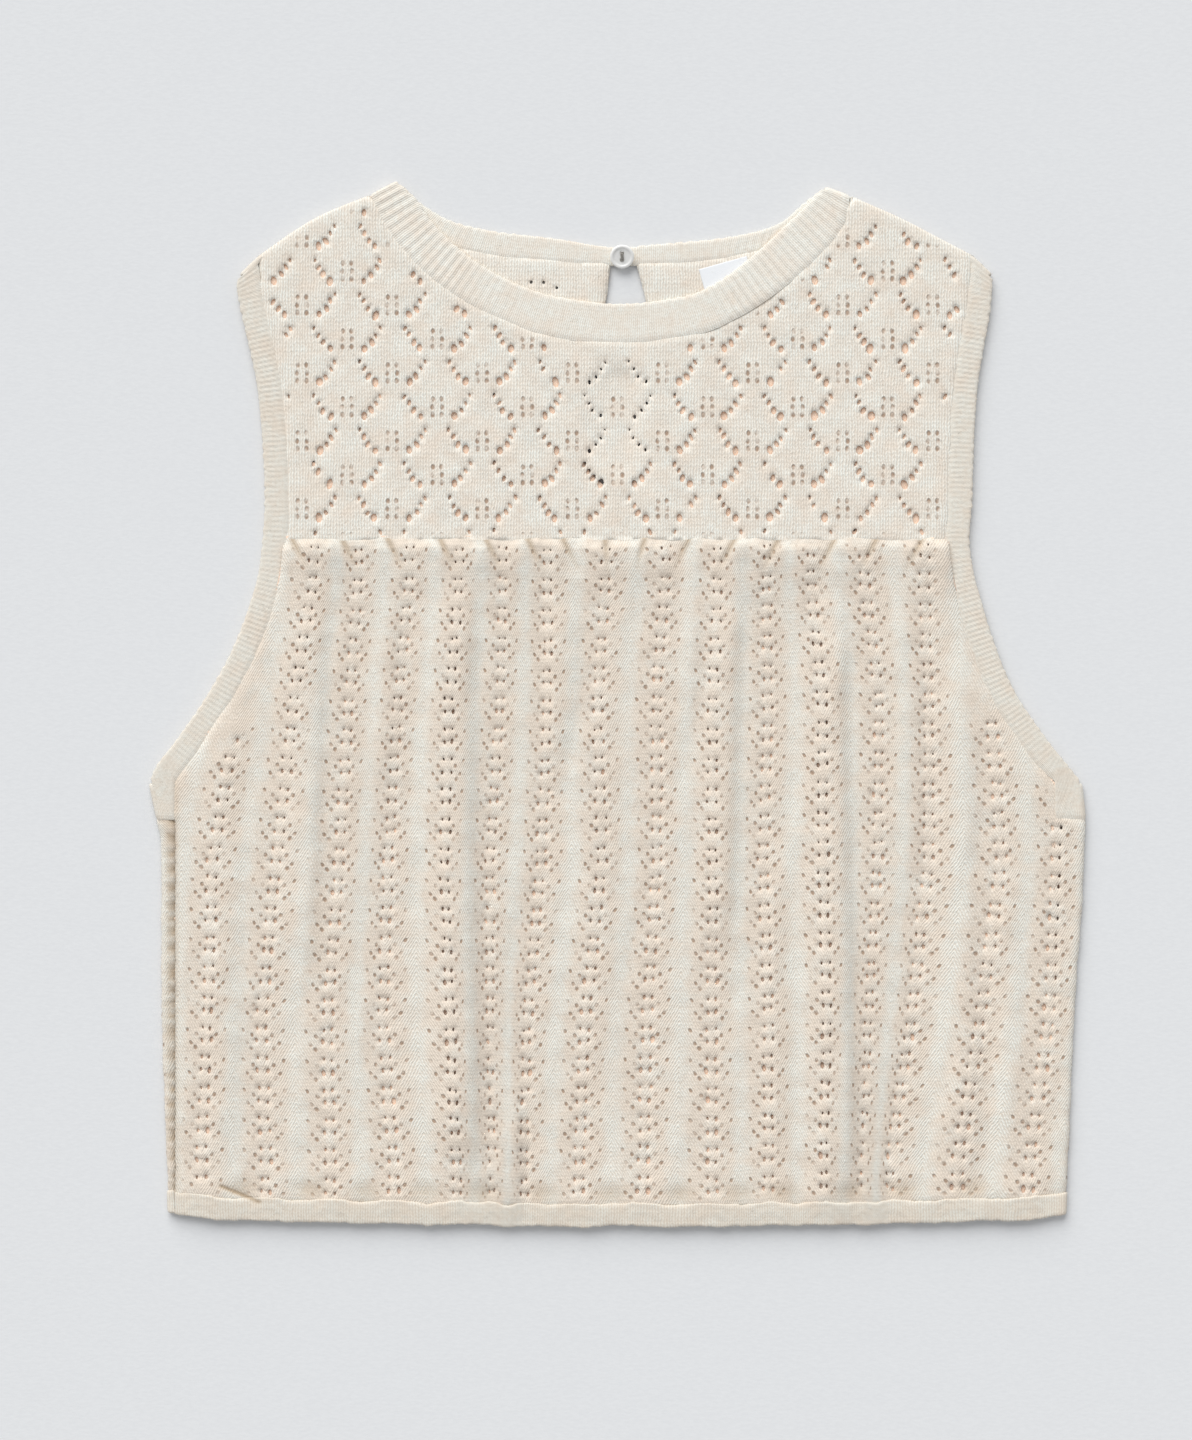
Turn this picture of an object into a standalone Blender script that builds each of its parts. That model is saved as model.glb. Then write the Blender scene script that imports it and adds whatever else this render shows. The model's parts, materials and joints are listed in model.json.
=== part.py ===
"""Sleeveless knit top, laid flat: a lace yoke, a gathered lace body, ribbed bands at neck and armholes,
a narrow hem band, and one button over a long keyhole at the back of the neck.

Sizes are in millimetres and become metres when a mesh is made. X runs across the garment, Y from the hem
to the neck, and Z up from the surface that it lies on. The back is the lower layer, the front the upper.
"""
import math
from collections import namedtuple

import bmesh
import bpy
import numpy as np
from mathutils.geometry import delaunay_2d_cdt

MM = 0.001

# Cloth
WALL = 1.8                      # thickness of one layer of knitting
GAP = 0.3                       # between two layers, and between two pieces at a seam
FRONT_LOW = WALL + GAP          # underside of the upper layer
FRONT_TOP = FRONT_LOW + WALL    # its upper side, where it lies flat
TURN_OUT = FRONT_TOP / 2        # radius of an edge where cloth turns over, outside
TURN_IN = GAP / 2               # and inside
TURN_STEPS = 4

# Main places
YOKE_SEAM_Y = 78.5              # seam between yoke and body
BAND_WIDTH = 12.0               # armhole bands
BAND_FOOT_Y = -56.0             # lowest edge of the armhole bands, at the sides
BAND_SPLAY_Y = -22.0            # from here down an armhole band widens to the side
BAND_CORNER_Y = -37.5           # where its inner edge meets the side seam
BODY_TOP_Y = YOKE_SEAM_Y - GAP
SIDE_TOP_Y = BAND_FOOT_Y - GAP
SEAM_LEFT_X = -212.4            # side seam, seen on the front
SEAM_RIGHT_X = 210.0            # side seam, out of sight below
HEM_HEIGHT = 11.0
HEM_EXTRA = 0.4                 # a hem band is thicker than the body
HEM_FADE = [0.75, 0.5, 0.25]    # and thins again over these points towards its round edge
HEM_MIDDLE = 0.45               # place of its middle row

# Ribs
NECK_RIB = 4.0
NECK_RIB_HEIGHT = 0.6
NECK_STEP = 9.0                 # along the back of the neck, whose ribs face the surface below
ARM_RIB = 2.4
ARM_RIB_HEIGHT = 0.35
ARM_BACK_ROWS = 24              # plain rows of an armhole band on the back, above its splay

# Left and right edges of the garment at an armhole, from shoulder to underarm
Armhole = namedtuple("Armhole", "y left right")
ARMHOLES = [
    Armhole(206.5, -181.5, 180.0),
    Armhole(199.4, -182.8, 180.0),
    Armhole(184.1, -179.8, 178.3),
    Armhole(155.3, -173.5, 173.4),
    Armhole(126.5, -170.6, 171.4),
    Armhole(97.7, -169.4, 170.4),
    Armhole(78.5, -170.4, 169.0),
    Armhole(64.1, -172.1, 170.8),
    Armhole(49.7, -175.9, 174.6),
    Armhole(28.1, -184.1, 181.4),
    Armhole(6.5, -195.6, 190.4),
    Armhole(-15.1, -210.0, 204.6),
    Armhole(-29.5, -221.0, 216.0),
    Armhole(-38.5, -225.2, 223.4),
]
SHOULDER_END = {"left": (-171.6, 216.0), "right": (170.2, 215.8)}   # inner end of a band's shoulder fold
SHOULDER_BLEND = 6              # stations over which a band's inner edge is drawn to that end
SHOULDER_SKIP = 3               # stations that a round edge takes up at the shoulder
SIDE_SKIP = 2                   # and at the side
SIDE_END = {"left": (-221.5, BAND_FOOT_Y), "right": (225.2, BAND_FOOT_Y)}

# Left and right edges of the garment at the sides, from underarm to hem
Side = namedtuple("Side", "y left right")
SIDES = [
    Side(-56.0, -221.5, 225.2),
    Side(-65.5, -219.6, 224.8),
    Side(-94.3, -219.2, 223.7),
    Side(-123.1, -219.4, 221.4),
    Side(-151.9, -219.1, 219.7),
    Side(-180.7, -218.2, 218.3),
    Side(-209.5, -217.1, 217.1),
    Side(-251.0, -215.6, 215.2),
]

# Lower edge of the hem
Hem = namedtuple("Hem", "x y")
HEM_EDGE = [
    Hem(-226.0, -241.5),
    Hem(-212.0, -245.4),
    Hem(-190.0, -247.8),
    Hem(-120.0, -249.4),
    Hem(-30.0, -250.9),
    Hem(60.0, -250.8),
    Hem(150.0, -249.2),
    Hem(196.0, -247.6),
    Hem(226.0, -244.6),
]

# Shoulder line between an armhole band and the neckband, and the ways that the bands' folds face there
Point = namedtuple("Point", "x y")
ARM_TURN = {"left": (-0.70, 0.71), "right": (0.70, 0.71)}
NECK_TURN = {"left": (-0.47, 0.88), "right": (0.34, 0.94)}
SHOULDER_LEFT = [Point(-170.2, 216.8), Point(-153.8, 228.2), Point(-139.4, 236.2), Point(-119.6, 244.2)]
SHOULDER_RIGHT = [Point(168.8, 216.4), Point(153.0, 224.6), Point(136.0, 233.4), Point(112.9, 243.6)]

# Neckband: each row is one line across it, from the seam with the yoke to the open edge
Rung = namedtuple("Rung", "seam_x seam_y open_x open_y")
NECK_FRONT = [
    Rung(-118.8, 244.6, -106.2, 251.2),
    Rung(-114.0, 233.5, -97.6, 243.3),
    Rung(-107.3, 222.6, -91.5, 234.6),
    Rung(-98.0, 211.6, -84.0, 225.8),
    Rung(-85.2, 200.4, -73.2, 216.2),
    Rung(-70.8, 191.3, -61.0, 208.0),
    Rung(-54.0, 183.0, -46.8, 200.9),
    Rung(-34.8, 176.4, -29.5, 195.4),
    Rung(-1.0, 172.6, 1.0, 191.9),
    Rung(38.0, 177.0, 32.6, 195.8),
    Rung(56.9, 184.6, 46.8, 201.8),
    Rung(70.8, 192.9, 58.5, 209.8),
    Rung(82.8, 201.9, 69.0, 218.6),
    Rung(93.8, 211.6, 79.0, 227.8),
    Rung(103.4, 221.4, 87.8, 236.4),
    Rung(109.4, 231.8, 94.4, 243.0),
    Rung(112.0, 244.0, 99.8, 248.4),
]
NECK_BACK_LEFT = [
    Rung(-118.8, 244.6, -106.2, 251.2),
    Rung(-104.0, 231.5, -94.5, 240.5),
    Rung(-86.0, 221.0, -79.0, 231.8),
    Rung(-60.0, 214.8, -57.0, 226.8),
    Rung(-34.0, 212.2, -32.5, 223.9),
    Rung(-12.0, 210.8, -11.6, 220.4),
    Rung(1.3, 210.3, 1.5, 218.8),
]
NECK_BACK_RIGHT = [
    Rung(3.3, 210.3, 3.1, 218.8),
    Rung(14.0, 210.6, 14.0, 220.4),
    Rung(38.0, 211.8, 38.6, 222.4),
    Rung(58.0, 214.4, 60.0, 225.4),
    Rung(76.0, 219.8, 77.6, 230.8),
    Rung(96.0, 231.0, 88.6, 239.8),
    Rung(112.0, 244.0, 99.8, 248.4),
]

# Yokes: spacing of the points along the armholes and the front of the neck
YOKE_STEP = 9.0
YOKE_SHOULDER_Y = 205.0         # above this the outline follows the shoulder
FRONT_NECK_STEP = 7.0

# Keyhole in the back yoke, from the neckband down to its round foot
Keyhole = namedtuple("Keyhole", "y left right")
KEYHOLE = [
    Keyhole(210.0, -3.4, 9.4),
    Keyhole(192.2, -5.8, 14.0),
    Keyhole(174.5, -12.5, 16.6),
    Keyhole(149.0, -19.4, 18.2),
    Keyhole(126.5, -18.8, 16.4),
    Keyhole(112.0, -13.2, 10.6),
]
KEYHOLE_FOOT = Point(-1.5, 103.0)

# Lace of the yoke: blocks of small eyelets in tiers, each between two large slanted eyelets
MOTIF = 43.26                   # from one block to the next
TIER = 16.3                     # from one tier to the next, moved half a motif
FIRST_BLOCK = Point(-151.4, 89.0)
LARGE_EYELET = Point(3.9, 4.9)
EYELET_SIDE = 8.0               # from a block's middle to a large eyelet
EYELET_LEAN = math.radians(24)
EYELET_MARGIN = 3.2             # cloth left between an eyelet and the yoke's edge
EYELET_CORNERS = 6

# Soft ridges of the body, each with its own foot on the left and the right
Fold = namedtuple("Fold", "top_x hem_x left right height start end")
FOLDS = [
    Fold(-188, -190, 13, 12, 1.2, 10, -236),
    Fold(-144, -153, 21, 9, 2.2, 74, -140),
    Fold(-110, -118, 10, 12, 1.2, 70, -60),
    Fold(-76, -72, 26, 10, 3.3, 74, -238),
    Fold(-48, -48, 14, 5, 2.3, -165, -252),
    Fold(-28, -35, 8, 15, 1.7, 74, -50),
    Fold(-12, -8, 15, 18, 1.2, 20, -190),
    Fold(35, 40, 9, 8, 1.7, 74, -20),
    Fold(55, 47, 18, 8, 2.6, 74, -130),
    Fold(72, 76, 10, 12, 1.3, -60, -236),
    Fold(103, 110, 24, 8, 3.4, 60, -254),
    Fold(138, 142, 12, 14, 1.4, 70, -90),
    Fold(163, 168, 20, 12, 1.9, 30, -240),
    Fold(186, 188, 9, 12, 1.1, -60, -236),
]
FOLD_FADE = 46.0                # over which a ridge rises and dies away along its length
FLAT_EDGE = 14.0                # folds fade over this width at the side seam and the right edge
EDGE_MARGIN = 6.0               # and leave this much of the right edge flat

# Gathers under the yoke seam: creases that part one puff from the next
CREASES = [-156, -132, -110, -85, -63, -43, -26, -6, 13, 34, 56, 77, 104, 124, 146]
CREASE_LEAN = 0.45              # creases on the left lean one way, those on the right the other
CREASE_CHANGE = 20.0            # and in between they stand straighter, this far from the middle
PUFF_SHAPE = 0.8                # below one for a round puff between narrow creases
PUFF_HEIGHT = 2.4
PUFF_LENGTH = 20.0
PUFF_RISE = 2.2

# Scallops where the body meets the hem band
SCALLOP = 30.6
SCALLOP_HEIGHT = 0.7
SCALLOP_REACH = 9.0

BODY_ROWS = [78.2, 75.6, 70.5, 61.0, 48.0, 33.0, 18.0, 7.0, -4.0, -25.0, -42.0, SIDE_TOP_Y,
             -84.0, -116.0, -150.0, -184.0, -212.0, -229.0, -239.5]
HEM_BEND_START = -150.0         # below this the rows bend towards the hem's curve
HEM_BEND = 80.0
BODY_COLUMNS = 64
BACK_COLUMNS = 5
STRIP_STEPS = 3                 # across the flat part of a strip past a side seam

# Button and label
BUTTON_AT = Point(2.2, 214.8)
BUTTON_RADIUS = 5.8
BUTTON_RIM = 4.4                # inside this radius the face is dished
BUTTON_FACE = 0.97              # size of the face and of the foot, as shares of the full disc
BUTTON_FOOT = 0.86
BUTTON_THICK = 2.0
BUTTON_DISH = 0.5
BUTTON_TILT = math.radians(20)
BUTTON_HOLE = 0.95
BUTTON_HOLES_APART = 3.6
LABEL_CORNER = Point(39.1, 208.6)
LABEL_SIZE = Point(24.0, 12.0)
LABEL_TURN = math.radians(15.5)
LABEL_THICK = 0.4
LABEL_CLEARANCE = 0.75          # the neckband lifts by this much where it lies over the label
LABEL_SPREAD = 22.0             # and stays lifted over this distance from its middle
LABEL_FADE = 0.6                # before it comes down over the next 0.6 to 1.6 of it

Finish = namedtuple("Finish", "colour roughness")
FINISHES = {
    "knit": Finish((0.78, 0.73, 0.62, 1.0), 0.9),
    "rib": Finish((0.75, 0.71, 0.61, 1.0), 0.9),
    "shell": Finish((0.88, 0.87, 0.82, 1.0), 0.25),
    "woven": Finish((0.86, 0.87, 0.88, 1.0), 0.6),
}


def clear_scene():
    for old in list(bpy.data.objects):
        bpy.data.objects.remove(old, do_unlink=True)


def material(name, finish):
    made = bpy.data.materials.new(name)
    made.use_nodes = True
    shader = made.node_tree.nodes["Principled BSDF"]
    shader.inputs["Base Color"].default_value = finish.colour
    shader.inputs["Roughness"].default_value = finish.roughness
    shader.inputs["Metallic"].default_value = 0.0
    return made


def add_solid(name, outer, inner, faces, kind="knit"):
    """One closed solid from a sheet of faces: outer points, inner points, and a rim round its borders."""
    outer, inner = np.asarray(outer, float), np.asarray(inner, float)
    used = np.unique([corner for face in faces for corner in face])
    place = {old: new for new, old in enumerate(used)}
    count = len(used)
    sheet = [[place[corner] for corner in face] for face in faces]
    edges = {(face[i - 1], face[i]) for face in sheet for i in range(len(face))}
    border = sorted(edge for edge in edges if (edge[1], edge[0]) not in edges)
    solid = [tuple(face) for face in sheet]
    solid += [tuple(corner + count for corner in reversed(face)) for face in sheet]
    solid += [(b, a, a + count, b + count) for a, b in border]
    mesh = bpy.data.meshes.new(name)
    mesh.from_pydata((np.vstack([outer[used], inner[used]]) * MM).tolist(), [], solid)
    work = bmesh.new()
    work.from_mesh(mesh)
    bmesh.ops.recalc_face_normals(work, faces=work.faces)
    work.to_mesh(mesh)
    work.free()
    mesh.materials.append(material(name, FINISHES[kind]))
    mesh.shade_smooth()
    mesh.set_sharp_from_angle(angle=math.radians(40))
    bpy.context.scene.collection.objects.link(bpy.data.objects.new(name, mesh))


def grid_faces(rows, columns, closed=False):
    """Quads between neighbouring rows, each row a run of points; closed joins the last row to the first."""
    last = rows if closed else rows - 1
    faces = []
    for r in range(last):
        for c in range(columns - 1):
            here, after = r * columns + c, ((r + 1) % rows) * columns + c
            faces.append((here, here + 1, after + 1, after))
    return faces


def smooth_curve(points, steps):
    """Catmull-Rom curve through the points, with this many steps between two of them."""
    points = np.asarray(points, float)
    ends = np.vstack([2 * points[0] - points[1], points, 2 * points[-1] - points[-2]])
    t = (np.arange(steps) / steps)[:, None]
    curve = []
    for a, b, c, d in zip(ends, ends[1:], ends[2:], ends[3:]):
        curve.append(0.5 * (2 * b + (c - a) * t + (2 * a - 5 * b + 4 * c - d) * t**2
                            + (3 * b - a - 3 * c + d) * t**3))
    curve.append(points[-1:])
    return np.vstack(curve)


def even_steps(points, spacing):
    """The same path with its points evenly spaced, measured along its first two columns."""
    run = np.concatenate([[0], np.cumsum(np.linalg.norm(np.diff(points[:, :2], axis=0), axis=1))])
    count = max(2, int(round(run[-1] / spacing)) + 1)
    at = np.linspace(0, run[-1], count)
    return np.column_stack([np.interp(at, run, column) for column in points.T])


def moved_aside(points, distance):
    """The path moved to the left of its own direction."""
    along = np.gradient(points, axis=0)
    along /= np.linalg.norm(along, axis=1)[:, None]
    return points + distance * np.column_stack([-along[:, 1], along[:, 0]])


def at_height(points, z):
    return np.column_stack([points, np.broadcast_to(z, len(points))])


def fold_centre(fold, outward):
    """Middle of the round edge whose outermost point is the given one."""
    return np.asarray(fold, float) - np.asarray(outward, float) / np.linalg.norm(outward) * TURN_OUT


def turned_edge(fold, outward, angle, radius):
    """A point on the round edge where cloth turns over: at a quarter turn it is the garment's outermost."""
    outward = np.asarray(outward, float) / np.linalg.norm(outward)
    flat = fold_centre(fold, outward) + outward * radius * math.sin(angle)
    return np.append(flat, TURN_OUT + radius * math.cos(angle))


def side_x(rows, column, y):
    """Edge of the garment at a height, read from a table that runs downwards."""
    heights = [-row.y for row in rows]
    return np.interp(-np.asarray(y, float), heights, [getattr(row, column) for row in rows])


def hem_y(x):
    return np.interp(x, [row.x for row in HEM_EDGE], [row.y for row in HEM_EDGE])


def smooth_step(value):
    value = np.clip(value, 0, 1)
    return value * value * (3 - 2 * value)


def fold_height(x, y):
    """How far the upper layer rises at a place: soft ridges, gathers at the yoke seam, scallops at the hem."""
    down = (BODY_TOP_Y - y) / (BODY_TOP_Y - HEM_EDGE[4].y)
    rise = np.zeros(np.broadcast(x, y).shape)
    for fold in FOLDS:
        centre = fold.top_x + (fold.hem_x - fold.top_x) * down
        away = x - centre
        foot = np.where(away < 0, fold.left, fold.right)
        ridge = np.cos(0.5 * math.pi * np.clip(np.abs(away) / foot, 0, 1)) ** 2
        along = smooth_step((fold.start - y) / FOLD_FADE) * smooth_step((y - fold.end) / FOLD_FADE)
        rise = np.maximum(rise, fold.height * ridge * along)
    lean = -CREASE_LEAN * np.sign(x) * smooth_step(np.abs(x) / CREASE_CHANGE)
    at_seam = x + lean * (BODY_TOP_Y - y)
    slot = np.interp(at_seam, CREASES, np.arange(len(CREASES)))
    puff = np.abs(np.sin(math.pi * slot)) ** PUFF_SHAPE
    below = np.clip(BODY_TOP_Y - y, 0, None)
    rise += PUFF_HEIGHT * puff * (1 - np.exp(-below / PUFF_RISE)) * np.exp(-below / PUFF_LENGTH)
    from_hem = np.abs(y - (hem_y(x) + HEM_HEIGHT))
    rise += SCALLOP_HEIGHT * np.sin(math.pi * x / SCALLOP) ** 2 * np.exp(-(from_hem / SCALLOP_REACH) ** 2)
    from_right = side_x(SIDES, "right", y) - EDGE_MARGIN - x
    return rise * smooth_step((x - SEAM_LEFT_X) / FLAT_EDGE) * smooth_step(from_right / FLAT_EDGE)


def armhole_path(side):
    """Outer edge of an armhole band, from the shoulder down to the underarm."""
    return smooth_curve([(getattr(row, side), row.y) for row in ARMHOLES], 8)


def inward(side):
    """Sign that moves a downward path towards the middle of the garment."""
    return 1 if side == "left" else -1


def band_edge(side, gap):
    """Inner edge of an armhole band as x for a height, with a gap to what it is sewn to."""
    inner = moved_aside(armhole_path(side), inward(side) * (BAND_WIDTH + gap))
    seam = SEAM_LEFT_X if side == "left" else SEAM_RIGHT_X
    limit = np.maximum if side == "left" else np.minimum
    order = np.argsort(inner[:, 1])
    return lambda y: limit(np.interp(y, inner[order, 1], inner[order, 0]), seam)


def armhole_band(side):
    """A flattened ring: down the front, round the side, up the back and over the shoulder."""
    sign = inward(side)
    seam = (SEAM_LEFT_X if side == "left" else SEAM_RIGHT_X) - sign * GAP
    path = armhole_path(side)
    stations = even_steps(path, ARM_RIB / 2)
    inner = moved_aside(stations, sign * BAND_WIDTH)
    upper = stations[:, 1] > BAND_SPLAY_Y
    outer_low, first = stations[~upper], inner[upper][-1]
    corner = np.array([first, (seam, BAND_CORNER_Y), (seam, BAND_FOOT_Y), SIDE_END[side]])
    inner_low = even_steps(corner, 1.0)
    pick = np.linspace(0, len(inner_low) - 1, len(outer_low) + 1)[1:]
    inner_low = np.column_stack([np.interp(pick, np.arange(len(inner_low)), col) for col in inner_low.T])
    share = np.linspace(1, 0, SHOULDER_BLEND + 1)[:-1, None]
    inner[:SHOULDER_BLEND] += (SHOULDER_END[side] - inner[0]) * share
    inner = np.vstack([inner[upper], inner_low])

    rows_out, rows_in = [], []

    def turn(outer_fold, inner_fold, outward, angles):
        for angle in angles:
            rows_out.append([turned_edge(end, outward, angle, TURN_OUT) for end in (outer_fold, inner_fold)])
            rows_in.append([turned_edge(end, outward, angle, TURN_IN) for end in (outer_fold, inner_fold)])

    half = np.linspace(0, math.pi, TURN_STEPS + 1)
    turn(stations[0], inner[0], ARM_TURN[side], half[::-1])
    for number in range(SHOULDER_SKIP, len(stations) - SIDE_SKIP):
        pair = np.array([stations[number], inner[number]])
        lift = ARM_RIB_HEIGHT * (number % 2)
        rows_out.append(at_height(pair, FRONT_TOP + lift))
        rows_in.append(at_height(pair, FRONT_LOW))
    turn(stations[-1], inner[-1], (-sign, 0.0), half)
    splay = int(upper.sum())
    plain = np.linspace(splay, SHOULDER_SKIP, ARM_BACK_ROWS).round().astype(int)
    for number in [*range(len(stations) - 1 - SIDE_SKIP, splay, -2), *plain]:
        pair = np.array([stations[number], inner[number]])
        rows_out.append(at_height(pair, 0.0))
        rows_in.append(at_height(pair, WALL))
    faces = grid_faces(len(rows_out), 2, closed=True)
    add_solid(f"armhole_band_{side}", np.vstack(rows_out), np.vstack(rows_in), faces, "rib")


def rungs(table, spacing):
    """Lines across the neckband, evenly spaced along it: seam point and open point of each."""
    curve = smooth_curve([tuple(row) for row in table], 8)
    middle = (curve[:, :2] + curve[:, 2:]) / 2
    spaced = even_steps(np.hstack([middle, curve]), spacing)
    return spaced[:, 2:]


def turned_by(point, angle):
    x, y = point
    return np.array([x * math.cos(angle) - y * math.sin(angle), x * math.sin(angle) + y * math.cos(angle)])


def over_label(x, y):
    """One over the label, falling to nothing a little way off."""
    middle = np.array([LABEL_CORNER.x, LABEL_CORNER.y]) + turned_by(
        np.array([LABEL_SIZE.x, -LABEL_SIZE.y]) / 2, LABEL_TURN)
    away = np.hypot(x - middle[0], y - middle[1])
    return smooth_step(1 + LABEL_FADE - away / LABEL_SPREAD)


def neckband():
    """One ribbed strip: back right, over the right shoulder, along the front, and over the left one."""
    rows_out, rows_in = [], []

    def lay(rung, low, high):
        pair = np.array([rung[2:], rung[:2]])
        rows_out.append(at_height(pair, high))
        rows_in.append(at_height(pair, low))

    def turn(rung, outward, angles):
        for angle in angles:
            ends = (rung[2:], rung[:2])
            rows_out.append([turned_edge(end, outward, angle, TURN_OUT) for end in ends])
            rows_in.append([turned_edge(end, outward, angle, TURN_IN) for end in ends])

    half = np.linspace(0, math.pi, TURN_STEPS + 1)
    front = rungs(NECK_FRONT, NECK_RIB / 2)
    right, left = rungs(NECK_BACK_RIGHT, NECK_STEP), rungs(NECK_BACK_LEFT, NECK_STEP)
    for rung in right[:-1]:
        lay(rung, WALL, 0.0)
    turn(right[-1], NECK_TURN["right"], half[::-1])
    for number, rung in enumerate(front[::-1][2:-2]):
        lift = LABEL_CLEARANCE * over_label(*(rung[:2] + rung[2:]) / 2)
        lay(rung, FRONT_LOW + lift, FRONT_TOP + lift + NECK_RIB_HEIGHT * (number % 2))
    turn(left[0], NECK_TURN["left"], half)
    for rung in left[1:]:
        lay(rung, WALL, 0.0)
    add_solid("neckband", np.vstack(rows_out), np.vstack(rows_in), grid_faces(len(rows_out), 2), "rib")


def yoke_outline(neck):
    """Outline of a yoke, round the armholes, shoulders and the given neck edge."""
    left_x, right_x = band_edge("left", GAP), band_edge("right", GAP)
    heights = np.arange(YOKE_SEAM_Y, YOKE_SHOULDER_Y, YOKE_STEP)
    right_edge = np.column_stack([right_x(heights), heights])
    left_edge = np.column_stack([left_x(heights), heights])[::-1]
    right_shoulder = smooth_curve(SHOULDER_RIGHT, 2) - [GAP, GAP]
    left_shoulder = smooth_curve(SHOULDER_LEFT, 2)[::-1] - [-GAP, GAP]
    return np.vstack([right_edge, right_shoulder, neck, left_shoulder, left_edge])


def fill_outline(outline, holes=(), rings=()):
    """Triangles of a flat outline, open at its holes; a ring only makes sure of edges along its line."""
    points = [tuple(point) for point in outline]
    owner = [-1] * len(points)
    edges = []
    for number, loop in enumerate([*holes, *rings]):
        start = len(points)
        points += [tuple(point) for point in loop]
        owner += [number if number < len(holes) else -1] * len(loop)
        edges += [(start + i, start + (i + 1) % len(loop)) for i in range(len(loop))]
    found, _, faces, sources, _, _ = delaunay_2d_cdt(points, edges, [list(range(len(outline)))], 1, 1e-6)
    hole_of = np.array([owner[source[0]] for source in sources])
    kept = [face for face in faces if not (hole_of[face[0]] >= 0 and len(set(hole_of[list(face)])) == 1)]
    return np.array([tuple(point) for point in found]), kept


def oval(x, y, width, height, lean, corners):
    angle = np.arange(corners) * 2 * math.pi / corners + math.pi / corners
    across, up = np.cos(angle) * width / 2, np.sin(angle) * height / 2
    return np.column_stack([x + across * math.cos(lean) - up * math.sin(lean),
                            y + across * math.sin(lean) + up * math.cos(lean)])


def inside(outline, x, y):
    """Whether a place lies inside an outline, by counting the edges to its right."""
    ahead = np.roll(outline, -1, axis=0)
    spans = (outline[:, 1] > y) != (ahead[:, 1] > y)
    rise = np.where(spans, ahead[:, 1] - outline[:, 1], 1.0)
    cross = outline[:, 0] + (y - outline[:, 1]) * (ahead[:, 0] - outline[:, 0]) / rise
    return np.count_nonzero(spans & (cross > x)) % 2 == 1


def clear_of(outline, x, y):
    ahead = np.roll(outline, -1, axis=0)
    side = ahead - outline
    along = ((x - outline[:, 0]) * side[:, 0] + (y - outline[:, 1]) * side[:, 1]) / (side**2).sum(axis=1)
    nearest = outline + np.clip(along, 0, 1)[:, None] * side
    return np.hypot(nearest[:, 0] - x, nearest[:, 1] - y).min()


def large_eyelets(outline):
    """The two large eyelets beside each block of the lace, tier over tier, where the yoke has room."""
    holes = []
    tiers = int((outline[:, 1].max() - FIRST_BLOCK.y) / TIER) + 1
    for tier in range(tiers):
        y = FIRST_BLOCK.y + tier * TIER
        first = FIRST_BLOCK.x + (tier % 2) * MOTIF / 2
        for block in range(-1, 9):
            for way in (-1, 1):
                x = first + block * MOTIF + way * EYELET_SIDE
                room = LARGE_EYELET.y / 2 + EYELET_MARGIN
                if inside(outline, x, y) and clear_of(outline, x, y) > room:
                    holes.append(oval(x, y, LARGE_EYELET.x, LARGE_EYELET.y, way * EYELET_LEAN,
                                      EYELET_CORNERS))
    return holes


def front_yoke():
    seam = rungs(NECK_FRONT, FRONT_NECK_STEP)[::-1, :2]
    outline = yoke_outline(moved_aside(seam, GAP)[1:-1])
    points, faces = fill_outline(outline, large_eyelets(outline))
    add_solid("front_yoke", at_height(points, FRONT_TOP), at_height(points, FRONT_LOW), faces)


def keyhole_edge():
    """The keyhole from its upper right corner, round its foot and up to its upper left corner."""
    right = [(row.right, row.y) for row in KEYHOLE]
    left = [(row.left, row.y) for row in reversed(KEYHOLE)]
    return smooth_curve(right + [tuple(KEYHOLE_FOOT)] + left, 3)


def back_yoke():
    right, left = rungs(NECK_BACK_RIGHT, NECK_STEP)[::-1, :2], rungs(NECK_BACK_LEFT, NECK_STEP)[::-1, :2]
    right[0] = fold_centre(right[0], NECK_TURN["right"])
    left[-1] = fold_centre(left[-1], NECK_TURN["left"])
    right, left = moved_aside(right, GAP), moved_aside(left, GAP)
    slot = keyhole_edge()
    neck = np.vstack([right[right[:, 0] > slot[0, 0] + 1], slot, left[left[:, 0] < slot[-1, 0] - 1]])
    points, faces = fill_outline(yoke_outline(neck))
    add_solid("back_yoke", at_height(points, 0.0), at_height(points, WALL), faces)


def panel_grid(rows, columns):
    """Places on a panel: even steps across, rows that bend to the hem's curve towards the lower edge."""
    u = np.linspace(0, 1, columns + 1)
    y = np.asarray(rows, float)[:, None] + 0 * u
    left = band_edge("left", GAP)(rows)[:, None]
    right = band_edge("right", GAP)(rows)[:, None]
    x = left * (1 - u) + right * u
    bend = smooth_step((HEM_BEND_START - y) / HEM_BEND)
    return x, y + bend * (hem_y(x) + HEM_HEIGHT - BODY_ROWS[-1])


def side_section(y, side, from_front):
    """Outer and inner points past a seam line: along the layer, round the edge, and back on the other."""
    away = -1 if side == "left" else 1
    seam = SEAM_LEFT_X if side == "left" else SEAM_RIGHT_X
    centre = float(side_x(SIDES, side, y)) - away * TURN_OUT
    flat = np.linspace(seam, centre, STRIP_STEPS + 1)[1:-1]
    back_to = seam + away * GAP
    start = 0.0 if from_front else math.pi
    angles = np.linspace(start, math.pi - start, TURN_STEPS + 1)
    both = []
    for radius in (TURN_OUT, TURN_IN):
        near = TURN_OUT + radius * math.cos(start)
        far = TURN_OUT - radius * math.cos(start)
        points = [(x, y, near) for x in flat]
        points += [(centre + away * radius * math.sin(a), y, TURN_OUT + radius * math.cos(a)) for a in angles]
        points += [(x, y, far) for x in flat[::-1]] + [(back_to, y, far)]
        both.append(points)
    return both


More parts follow.
